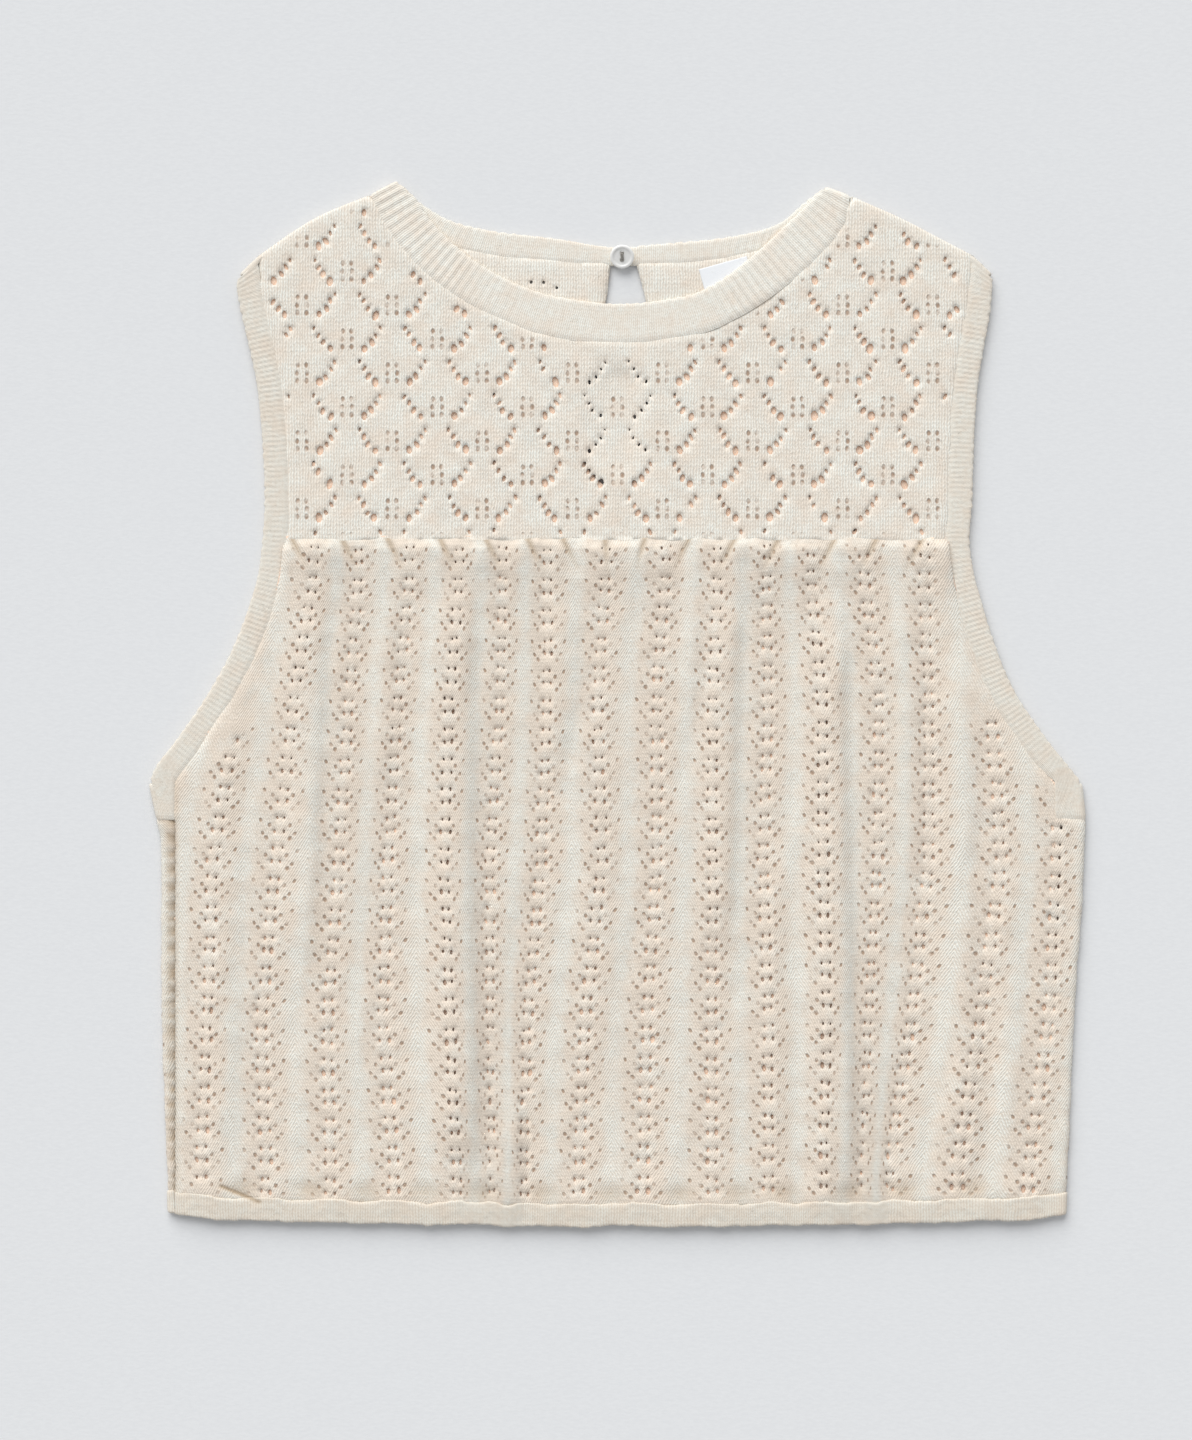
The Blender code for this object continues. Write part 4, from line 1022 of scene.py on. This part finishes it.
def insideLimits(x, y):
    # millimetres to the end of the lace beside the armholes; plenty below them
    low = x - np.interp(y, bodyLace["limitY"], bodyLace["limitLeft"])
    high = np.interp(y, bodyLace["limitY"], bodyLace["limitRight"]) - x
    return np.where(y > bodyLace["limitY"][0], np.minimum(low, high), 99)


def fanEyelets(loop, shiftStitches=0, shiftRows=0):
    # tiers of fans up every column; each fan's eyelets spread and lean outwards, the sizes follow the
    # column's width
    found = []
    count = len(bodyLace["columns"])
    for column in range(-1, count + 1):
        for way in (-1, 1):
            for stitches, above, width, height, lean in bodyLace["fan"]:
                stitch = column * bodyLace["columnStitches"] + way * stitches + shiftStitches
                tiers = np.arange(-2, 23) * bodyLace["tier"] + bodyLace["firstTier"]
                share = np.clip(stitch / bodyLace["columnStitches"], 0, count - 1.001)
                phase = np.interp(share, np.arange(count), bodyLace["phases"])
                y = tiers + phase + above + shiftRows * bodyLace["tier"] / bodyLace["tierRows"]
                lines = columnLines(y)
                at = int(share)
                spacing = lines[:, at + 1] - lines[:, at]
                x = lines[:, at] + spacing * (stitch / bodyLace["columnStitches"] - at)
                scale = np.clip(np.sqrt(spacing / 30.5), 0.7, 1.08)
                size = np.interp(y, (-250, 70), (bodyLace["sizeFoot"], bodyLace["sizeTop"]))
                found.append(np.column_stack([x, y, width * scale * size, height * size,
                                              np.full(len(y), -way * math.radians(lean))]))
    found = np.vstack(found)
    found = found[insideOf(loop, found[:, :2])]
    room = nearestOn(loop, found[:, :2], closed=True)[0]
    found = found[room > bodyLace["margin"] + found[:, 3] / 2]
    return found[insideLimits(found[:, 0], found[:, 1]) > 0]


def bodyOutline(side):
    # in cloth coordinates: up to the yoke seam between the armhole bands, and below them out to where
    # the cloth that turns over at the given side ends
    top, foot = outline["yokeSeam"] + layer["tuck"], outline["bandFoot"] + layer["tuck"]
    heights = np.append(np.arange(foot, top, 2.5), top)
    edges = {}
    for name in ("left", "right"):
        upper = np.column_stack([bandEdge(name, -layer["tuck"])(heights), heights])
        seam = outline["seamLeft" if name == "left" else "seamRight"]
        lowest = float(hemY(seam)) + outline["hemHeight"] - layer["tuck"]
        down = np.linspace(foot, lowest, 75)
        if name == side:
            run = np.column_stack([clothEnd(side, down), down])
            over = np.linspace(upper[0, 0], run[0, 0], 14)[1:-1]
            run = np.vstack([np.column_stack([over, np.full(len(over), foot)]), run])
        else:
            run = np.column_stack([np.full(len(down), seam), down])[1:]
        edges[name] = np.vstack([run[::-1], upper])
    across = np.linspace(edges["left"][0, 0], edges["right"][0, 0], 180)[1:-1]
    shown = wrapped(across, np.full(len(across), -240.0), 0.0, side)[:, 0]
    lower = np.column_stack([across, hemY(shown) + outline["hemHeight"] - layer["tuck"]])
    upperX = np.linspace(edges["right"][-1, 0], edges["left"][-1, 0], 140)[1:-1]
    upper = np.column_stack([upperX, np.full(len(upperX), top)])
    return np.vstack([lower, edges["right"], upper, edges["left"][::-1]])


shadeAmount = {
    # how much painted shade each place gets, from 0 to 1
    "pocket": 0.45,
    "seam": 0.35,
    "seamWidth": 1.6,
    "crease": 0.8,
    "nick": 0.9,
    "hem": 0.26,
    "hemNick": 0.7,
    "armBand": 0.13,
    "strip": 0.25,
    "knots": 0.75,          # as much more between the knots
}

strip = {
    # back cloth that shows as a narrow strip left of the side seam, with a knotty selvedge
    "knotPitch": 8.0,
    "knotHeight": 1.2,
    "knotWidth": 2.4,
    "drop": 0.5,            # it lies this much lower than the front
}


def makeBody(front):
    side = "right" if front else "left"
    loop = bodyOutline(side)
    eyelets = fanEyelets(loop) if front else fanEyelets(loop, shiftStitches=6, shiftRows=4)
    eyelets = unevenEyelets(eyelets, 7 if front else 8, stray=0.3, smallest=0.62)
    fill = fillPoints(loop, bodyLace["fill"], eyelets)
    if front:
        dense = outline["yokeSeam"] - folds["denseBelow"]
        nick = evenSteps(np.array(folds["nick"]), 1.0)
        fill = np.vstack([fill[fill[:, 1] < dense], fillPoints(loop, bodyLace["fineFill"], eyelets, dense),
                          *[nick + (0.38 * offset, 0.92 * offset) for offset in folds["nickRows"]]])
        fill = fill[farFromEyelets(fill, eyelets, 0.3) & insideOf(loop, fill)]
    flat, faces = cutSheet(loop, eyeletRings(eyelets), fill)
    q, y = flat.T
    hollow = dipAtEyelets(flat, eyelets)
    fromEdge = nearestOn(loop, flat, closed=True)[0]
    dip = layer["seamDip"] * (1 - smoothStep(fromEdge / layer["seamReach"]))
    wave = layer["wave"] * wavyNoise(q, y, 18.0, 21 if front else 22)
    sink = dip + layer["eyeletDip"] * hollow - wave
    thin = layer["cloth"] if front else layer["backCloth"] + layer["backFluff"]
    thin = thin - layer["eyeletThin"] * hollow
    lift = foldHeight(q, y) if front else 0.0
    outer, inner = wrapped(q, y, sink, side, lift), wrapped(q, y, np.maximum(sink, 0) + thin, side, lift)
    if front:
        # painted shade in the pockets over the hem, along the side seam and in the creases
        seam = np.exp(-((q - outline["seamLeft"]) / shadeAmount["seamWidth"]) ** 2)
        deepShade = shadeAmount["pocket"] * pocketDepth(q, y) + shadeAmount["seam"] * seam
        deepShade += shadeAmount["crease"] * creaseDepth(q, y) + shadeAmount["nick"] * nickDepth(q, y)
    else:
        outer, inner = turnedOver(outer), turnedOver(inner)
        inner[:, 2] += folds["backShare"] * foldHeight(q, y) * (q > outline["seamLeft"])
        beside = -q > -sideX("left", y) - turnRadius + math.pi * turnRadius
        fromSeam = outline["seamLeft"] - outer[:, 0]
        swell = np.sin(math.pi * y / strip["knotPitch"] + 0.8 * wavyNoise(y, y * 0, 31.0, 9)) ** 2
        near = np.exp(-((fromSeam - 1.0) / strip["knotWidth"]) ** 2) * beside
        outer[:, 2] += (strip["knotHeight"] * swell * near - strip["drop"]) * beside
        # painted shade on the strip, deeper between the knots
        deepShade = (shadeAmount["strip"] + shadeAmount["knots"] * (1 - swell) * near) * beside
    # and the body a little darker all over
    deepShade += bodyLace["dullness"]
    points, faces = closedShell(faces, outer, inner)
    stitch = stitchAt(q, y)
    uv = np.column_stack([stitch + (0 if front else 6), rowAt(stitch, y) + (0 if front else 4)])
    # warm painted shade round the eyelets and on the whole inner face
    warmth = np.concatenate([layer["eyeletGlow"] * hollow**2, np.ones(len(flat))])
    name = "body_front" if front else "body_back"
    laced = smoothStep((fromEdge - layer["tuck"] - 1.0) / 2) * smoothStep(insideLimits(q, y) / 3 + 0.5)
    piece = makePiece(name, points, faces, fanKnit, np.vstack([uv, uv]), warmth,
                      np.concatenate([laced, 0 * laced]), np.concatenate([deepShade, 0 * deepShade]))
    asCloth(piece, "lace_knit", bodyLace["cut"], polygonArea(loop), ["body_back"] if front else [],
            "front_body" if front else "back_body")
    return piece


# Hem bands

hem = {
    "proud": 0.35,          # above the body's face
    "thick": 1.7,
    "step": 1.0,            # between stations along the band
    "pucker": 0.35,         # depth of the short arched lines under each fan
    "puckerPitch": 2.6,
    "wave": 0.5,            # of the lower edge
    "scallop": 0.5,         # of the upper one, which rises at each fan
    "ragged": 0.22,         # small unevenness of the lower edge
    "middle": 5.0,          # height over its lower edge where its length is measured
    "cut": (458.0, 12.5),   # flat size of each half
    "laidWidth": 11.5,
}


def makeHem(front):
    # a narrow band along the foot of each layer, thick and rounded, that follows the folds and turns
    # over at its own side; short grooves pucker it under the fans
    side = "right" if front else "left"
    sign = 1 if front else -1
    seam = outline["seamLeft"] if front else outline["seamRight"]
    foot = float(hemY(seam))
    end = float(clothEnd(side, foot + hem["middle"]))
    q = np.arange(0, abs(end - seam) + hem["step"] / 2, hem["step"]) * sign + seam
    across = np.array([0, 0.03, 0.09, 0.18, 0.32, 0.5, 0.68, 0.82, 0.91, 0.97, 1.0])
    share = np.concatenate([across, across[-2:0:-1]])[None]
    inner = (np.arange(share.shape[1]) >= len(across))[None]
    shown = wrapped(q, np.full(len(q), foot + hem["middle"]), 0.0, side)[:, :1]
    stitch = stitchAt(q, np.full(len(q), -221.5))[:, None]
    offset = np.abs((stitch + 6) % 12 - 6)
    height = outline["hemHeight"] + 0.2 + hem["scallop"] * np.cos(math.pi * offset / 6)
    edge = hemY(shown) + hem["wave"] * (wavyNoise(shown, shown * 0, 34.0, 31) - 0.4)
    edge += hem["ragged"] * wavyNoise(shown, shown * 0, band["raggedPitch"], 32, octaves=2)
    y = edge + height * share
    fromEdge = np.minimum(share, 1 - share) * height
    half = hem["thick"] / 2 * np.sqrt(1 - (1 - np.clip(fromEdge / band["round"], 0, 1)) ** 2)
    arch = np.cos(2 * math.pi * (y - edge - 0.12 * offset**2) / hem["puckerPitch"])
    pucker = hem["pucker"] * (0.5 - 0.5 * arch) * smoothStep((4.6 - offset) / 2) * smoothStep(fromEdge / 2)
    outerDepth = -hem["proud"] + hem["thick"] / 2 - half + pucker
    depth = np.where(inner, hem["thick"] / 2 - hem["proud"] + half, outerDepth)
    grid = np.broadcast_to(q[:, None], depth.shape).ravel()
    lift = foldHeight(grid, y.ravel()) if front else 0.0
    points = wrapped(grid, y.ravel(), depth.ravel(), side, lift)
    if not front:
        points = turnedOver(points)
        points[:, 2] = np.maximum(points[:, 2], 0.0)
    points, faces = sweptRing(points.reshape(*depth.shape, 3), closed=False)
    uv = np.column_stack([(np.broadcast_to(stitch, depth.shape)).ravel(), (y / 1.8).ravel()])
    # painted shade over the whole band, deeper in the sharp crease
    deepShade = shadeAmount["hem"]
    if front:
        deepShade = deepShade + shadeAmount["hemNick"] * nickDepth(points[:, 0], points[:, 1])
    piece = makePiece("hem_band_front" if front else "hem_band_back", points, faces, ribKnit, uv, paintedShade=deepShade)
    asCloth(piece, "rib_knit", hem["cut"], hem["cut"][0] * hem["laidWidth"],
            ["hem_band_back"] if front else [], "hem_front" if front else "hem_back")
    return piece


# Button, its thread and the label

button = {
    "at": (2.2, 214.8),
    "radius": 5.8,
    "rings": (5.6, 5.3, 4.95, 4.6, 4.3, 4.0, 3.7),      # radii where the mesh follows rim and dish
    "rim": 4.9,             # from this radius outwards the face rounds down
    "rimWidth": 0.95,
    "dishRadius": 4.7,      # inside this radius the face is dished
    "dishSlope": 0.9,       # width of the slope down into the dish
    "thick": 2.0,
    "dish": 0.55,
    "foot": 0.86,           # the underside is this much smaller
    "tilt": math.radians(20),
    "hole": 0.95,
    "holesApart": 3.6,
    "lip": 0.25,            # ring of points round each hole
}

thread = {
    "radius": 0.34,
    "strands": (-0.38, 0.0, 0.38),
    "proud": 0.55,          # over the dish, at its highest
    "drop": 1.9,            # down into the holes
    "stray": 0.12,
}


def tipped(points):
    # from the button's own axes, z from its underside, to where it is sewn on, tipped towards the hem
    seat = layer["wall"] + layer["gap"] + button["radius"] * button["foot"] * math.sin(button["tilt"])
    y, z = turnedBy(points[:, 1], points[:, 2], button["tilt"])
    return np.column_stack([points[:, 0] + button["at"][0], y + button["at"][1], z + seat])


def circle(radius, corners, middle=(0.0, 0.0)):
    # corners evenly spaced round a circle
    turn = np.arange(corners) * 2 * math.pi / corners
    return np.asarray(middle) + radius * np.column_stack([np.cos(turn), np.sin(turn)])


def makeButton():
    # a disc of shell: its face is a function of the radius, with a round rim and a dished middle
    made, shader, add = newMaterial("river shell, cut and polished", Roughness=0.22, Coat_Weight=0.35,
                                    Coat_Roughness=0.08, IOR=1.56)
    # layers of nacre give cloudy, faintly pink and green bands under a clear polish
    place = add("TexCoord", output="Object")
    cloud = add("TexNoise", {"Vector": place, "Scale": 420.0, "Detail": 4.0, "Distortion": 1.4})
    colour = add("Mix", {0: cloud, 6: fromHex("FAF9F6"), 7: fromHex("ECEBE5")}, 2, data_type="RGBA")
    made.node_tree.links.new(colour, shader.inputs["Base Color"])
    loop = circle(button["radius"], 48)
    dish = np.vstack([circle(radius, 48) for radius in button["rings"]])
    holes = np.array([(0, way * button["holesApart"] / 2, 2 * button["hole"], 2 * button["hole"], 0)
                      for way in (-1, 1)])
    holeRings = [circle(button["hole"], 20, hole[:2]) for hole in holes]
    lips = np.vstack([circle(button["hole"] + button["lip"], 20, hole[:2]) for hole in holes])
    inside = fillPoints(loop * 0.6, 0.7, holes)
    inside = inside[farFromEyelets(inside, holes, 0.45)]
    flat, faces = cutSheet(loop, holeRings, np.vstack([dish, lips, inside]))
    radius = np.hypot(*flat.T)
    rim = np.sqrt(1 - np.clip((radius - button["rim"]) / button["rimWidth"], 0, 1) ** 2)
    lip = np.minimum(*[np.hypot(*(flat - hole[:2]).T) for hole in holes]) - button["hole"]
    dished = smoothStep((button["dishRadius"] - radius) / button["dishSlope"])
    face = button["thick"] * (0.6 + 0.4 * rim) - button["dish"] * dished
    face -= 0.22 * (1 - smoothStep(lip / 0.35))
    under = 0.75 * (1 - smoothStep((button["radius"] - radius) / 1.4))
    upper = np.column_stack([flat, face])
    lower = np.column_stack([flat * np.where(radius > 5, 0.97, 1.0)[:, None], under])
    points, faces = closedShell(faces, tipped(upper), tipped(lower))
    piece = makePiece("shell_button", points, faces, made, np.vstack([flat, flat]))
    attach(piece, body)
    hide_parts("button")


def makeThread():
    # three strands of grey sewing thread: each rises from one hole, crosses and goes down the other
    made, shader, add = newMaterial("grey cotton sewing thread", Roughness=0.8, Base_Color=fromHex("9A968E"))
    knit = add("UVMap", uv_map="knit")
    ply = add("TexWave", {"Vector": knit, "Scale": 1.1}, bands_direction="DIAGONAL")
    relief = add("Bump", {"Height": ply, "Strength": 0.5, "Distance": 0.0002})
    made.node_tree.links.new(relief, shader.inputs["Normal"])
    turn = np.arange(8) * 2 * math.pi / 8
    run = np.linspace(-1, 1, 25)
    maps, allPoints, allFaces, start = [], [], [], 0
    for offset in thread["strands"]:
        y = button["holesApart"] / 2 * np.sign(run) * np.abs(np.sin(run * math.pi / 2)) ** 0.8
        z = button["thick"] - button["dish"] + thread["proud"] - thread["drop"] * np.abs(run) ** 5
        x = np.full(len(run), offset) + thread["stray"] * np.sin(5 * run + 9 * offset)
        path = np.column_stack([x, y, z])
        along = np.gradient(path, axis=0)
        along /= np.linalg.norm(along, axis=1)[:, None]
        beside = np.array([1.0, 0, 0])
        upward = np.cross(along, beside)
        upward /= np.linalg.norm(upward, axis=1)[:, None]
        ring = path[:, None] + thread["radius"] * (np.cos(turn)[None, :, None] * beside
                                                   + np.sin(turn)[None, :, None] * upward[:, None])
        points, faces = sweptRing(ring, closed=False)
        allPoints.append(points)
        allFaces.append(faces + start)
        start += len(points)
        maps.append(np.column_stack([np.repeat(run * 6, 8), np.tile(turn, len(run))]))
    points, faces = tipped(np.vstack(allPoints)), np.vstack(allFaces)
    piece = makePiece("button_thread", points, faces, made, np.vstack(maps))
    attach(piece, body)


def makeLabel():
    # a strip of woven ribbon, blank, slightly curled, with folded ends
    made, shader, add = newMaterial("white damask ribbon", Roughness=0.55, Sheen_Weight=0.15)
    # fine satin weave gives a soft even gloss; its threads, 0.12 mm apart, are drawn at 0.45 mm to show
    knit = add("UVMap", uv_map="knit")
    warp = add("TexWave", {"Vector": knit, "Scale": 0.7, "Distortion": 0.6})
    weft = add("TexWave", {"Vector": knit, "Scale": 0.7, "Distortion": 0.6}, bands_direction="Y")
    weave = add("Math", (warp, weft), operation="MULTIPLY")
    colour = add("Mix", {0: weave, 6: fromHex("E6E8EA"), 7: fromHex("F7F8F9")}, 2, data_type="RGBA")
    made.node_tree.links.new(colour, shader.inputs["Base Color"])
    made.node_tree.links.new(add("Bump", {"Height": weave, "Strength": 0.4, "Distance": 0.0001}),
                             shader.inputs["Normal"])
    u, v = np.meshgrid(np.linspace(0, 1, 41), np.linspace(0, 1, 25), indexing="ij")
    x, y = u * label["width"], -v * label["height"]
    low = layer["wall"] + layer["gap"]
    curl = label["over"] * np.sin(math.pi * u) * np.sin(math.pi * v) + 0.05 * np.sin(5 * u + 3 * v)
    fold = 0.12 * (1 - smoothStep(np.minimum(u, 1 - u) * label["width"] / 0.8))
    placeX, placeY = turnedBy(x, y, label["turn"])
    flat = np.column_stack([(placeX + label["corner"][0]).ravel(), (placeY + label["corner"][1]).ravel()])
    top = low + label["over"] + (curl - fold).ravel() * 0.6
    index = np.arange(u.size).reshape(u.shape)
    a, b, c, d = index[:-1, :-1], index[1:, :-1], index[1:, 1:], index[:-1, 1:]
    faces = np.vstack([np.column_stack([a.ravel(), d.ravel(), c.ravel()]),
                       np.column_stack([a.ravel(), c.ravel(), b.ravel()])])
    upper = np.column_stack([flat, top + label["half"][0]])
    lower = np.column_stack([flat, top - label["half"][1]])
    points, faces = closedShell(faces, upper, lower)
    uv = np.column_stack([x.ravel(), y.ravel()])
    piece = makePiece("woven_label", points, faces, made, np.vstack([uv, uv]))
    asCloth(piece, "label", (label["width"], label["height"]), label["width"] * label["height"],
            ["yoke_back"], "neck_label")


# Fluff

fluff = {
    "fibres": 30000,
    "atEdges": 7.0,         # so much denser on faces that stand up
    "shortest": 0.7,
    "longest": 2.3,
    "radius": 0.06,
    "rise": 0.35,           # how far fibres stand off the cloth
}


def makeFluff(pieces):
    # loose fibre ends as thin three-sided spikes, each on a random face of the knitting
    dice = np.random.default_rng(41)
    triangles = []
    for piece in pieces:
        mesh = piece.data
        mesh.calc_loop_triangles()
        points, corners = np.empty(3 * len(mesh.vertices)), np.empty(3 * len(mesh.loop_triangles), np.int32)
        mesh.vertices.foreach_get("co", points)
        mesh.loop_triangles.foreach_get("vertices", corners)
        triangles.append(points.reshape(-1, 3)[corners.reshape(-1, 3)] / mm)
    a, b, c = np.vstack(triangles).transpose(1, 0, 2)
    normals = np.cross(b - a, c - a) / 2
    area = np.linalg.norm(normals, axis=1)
    normals /= np.maximum(area, 1e-9)[:, None]
    chance = area * np.where(np.abs(normals[:, 2]) < 0.6, fluff["atEdges"], 1.0) * (normals[:, 2] > -0.3)
    pick = dice.choice(len(area), fluff["fibres"], p=chance / chance.sum())
    u, v = np.sort(dice.uniform(0, 1, (2, len(pick), 1)), axis=0)
    spots = a[pick] * u + b[pick] * (v - u) + c[pick] * (1 - v)
    normals = normals[pick]
    along = dice.normal(0, 1, spots.shape) + fluff["rise"] * 2 * normals
    along -= normals * np.minimum((along * normals).sum(axis=1), 0)[:, None]
    along /= np.linalg.norm(along, axis=1)[:, None]
    length = dice.uniform(fluff["shortest"], fluff["longest"], (len(spots), 1))
    beside = np.cross(along, dice.normal(0, 1, spots.shape))
    beside /= np.linalg.norm(beside, axis=1)[:, None]
    third = np.cross(along, beside)
    tips = spots + along * length
    keep = tips[:, 2] > 0.2
    base = [spots + fluff["radius"] * (beside * math.cos(turn) + third * math.sin(turn))
            for turn in (0, 2 * math.pi / 3, 4 * math.pi / 3)]
    points = np.stack([*base, tips], axis=1)[keep]
    first = 4 * np.arange(len(points))[:, None, None]
    faces = (first + np.array([[0, 1, 3], [1, 2, 3], [2, 0, 3], [2, 1, 0]])).reshape(-1, 3)
    points = points.reshape(-1, 3) - frameShift
    piece = makePiece("yarn_fluff", points, faces, ribKnit, points[:, :2] * 0)
    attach(piece, body)


# Floor, light and camera

studio = {
    "grainSize": 1.3,           # mm; fine paper grain
    "world": 0.54,
    "key": 2.9,                 # W for each square metre, far off
    "keySpread": math.radians(55),
    "keyFrom": (-0.38, 1.15, 0.85),
    "lens": 85.0,
    "sensor": 36.0,
    "viewHeight": 691.2,        # mm of the surface that the frame takes in
    "viewMiddle": (-10.3, -7.9),
}


def makeFloor():
    made, shader, add = newMaterial("pale backdrop paper", Roughness=0.9, Specular_IOR_Level=0.1)
    # laid paper: flat and matt, with a grain of short fibres lying across
    place = add("TexCoord", output="Object")
    stretched = add("Mapping", {"Vector": place, "Scale": (0.45, 1.0, 1.0)})
    grain = add("TexNoise", {"Vector": stretched, "Scale": 1000 / studio["grainSize"], "Detail": 2.0})
    tone = add("MapRange", {"Value": grain, "From Min": 0.3, "From Max": 0.7, "To Min": 0.35, "To Max": 0.65})
    colour = add("Mix", {0: tone, 6: fromHex("D9DADB"), 7: fromHex("E4E5E5")}, 2, data_type="RGBA")
    made.node_tree.links.new(colour, shader.inputs["Base Color"])
    made.node_tree.links.new(add("Bump", {"Height": grain, "Strength": 0.12, "Distance": 0.0004}),
                             shader.inputs["Normal"])
    mesh = bpy.data.meshes.new("backdrop")
    half, below = 3.0, -0.0004
    mesh.from_pydata([(-half, -half, below), (half, -half, below), (half, half, below), (-half, half, below)],
                     [], [(0, 1, 2, 3)])
    mesh.materials.append(made)
    floor = bpy.data.objects.new("backdrop", mesh)
    bpy.context.scene.collection.objects.link(floor)


def makeLight():
    scene = bpy.context.scene
    scene.view_settings.view_transform = "Standard"
    world = bpy.data.worlds.new("soft room")
    world.use_nodes = True
    back = world.node_tree.nodes["Background"]
    back.inputs["Color"].default_value = fromHex("F4F6FA")
    back.inputs["Strength"].default_value = studio["world"]
    scene.world = world
    lamp = bpy.data.lights.new("distant softbox", "SUN")
    lamp.energy = studio["key"]
    lamp.angle = studio["keySpread"]
    key = bpy.data.objects.new("distant softbox", lamp)
    key.location = studio["keyFrom"]
    key.rotation_euler = key.location.to_track_quat("Z", "Y").to_euler()
    scene.collection.objects.link(key)


def makeCamera():
    # straight above the middle of the frame
    lens = bpy.data.cameras.new("overhead")
    lens.lens = studio["lens"]
    lens.sensor_fit = "VERTICAL"
    lens.sensor_height = studio["sensor"]
    lens.clip_end = 20.0
    eye = bpy.data.objects.new("overhead", lens)
    height = studio["viewHeight"] * studio["lens"] / studio["sensor"] + frontTop
    x, y, z = (np.array([*studio["viewMiddle"], height]) + frameShift) * mm
    eye.location = (x, y, z)
    bpy.context.scene.collection.objects.link(eye)
    bpy.context.scene.camera = eye


knitted = [makeYoke(front=True), makeYoke(front=False), makeBody(front=True), makeBody(front=False),
           makeHem(front=True), makeHem(front=False), makeNeckband(), makeArmBand("left"),
           makeArmBand("right")]
makeFluff(knitted)
makeButton()
makeThread()
makeLabel()
makeFloor()
makeLight()
makeCamera()
print("all pieces made")
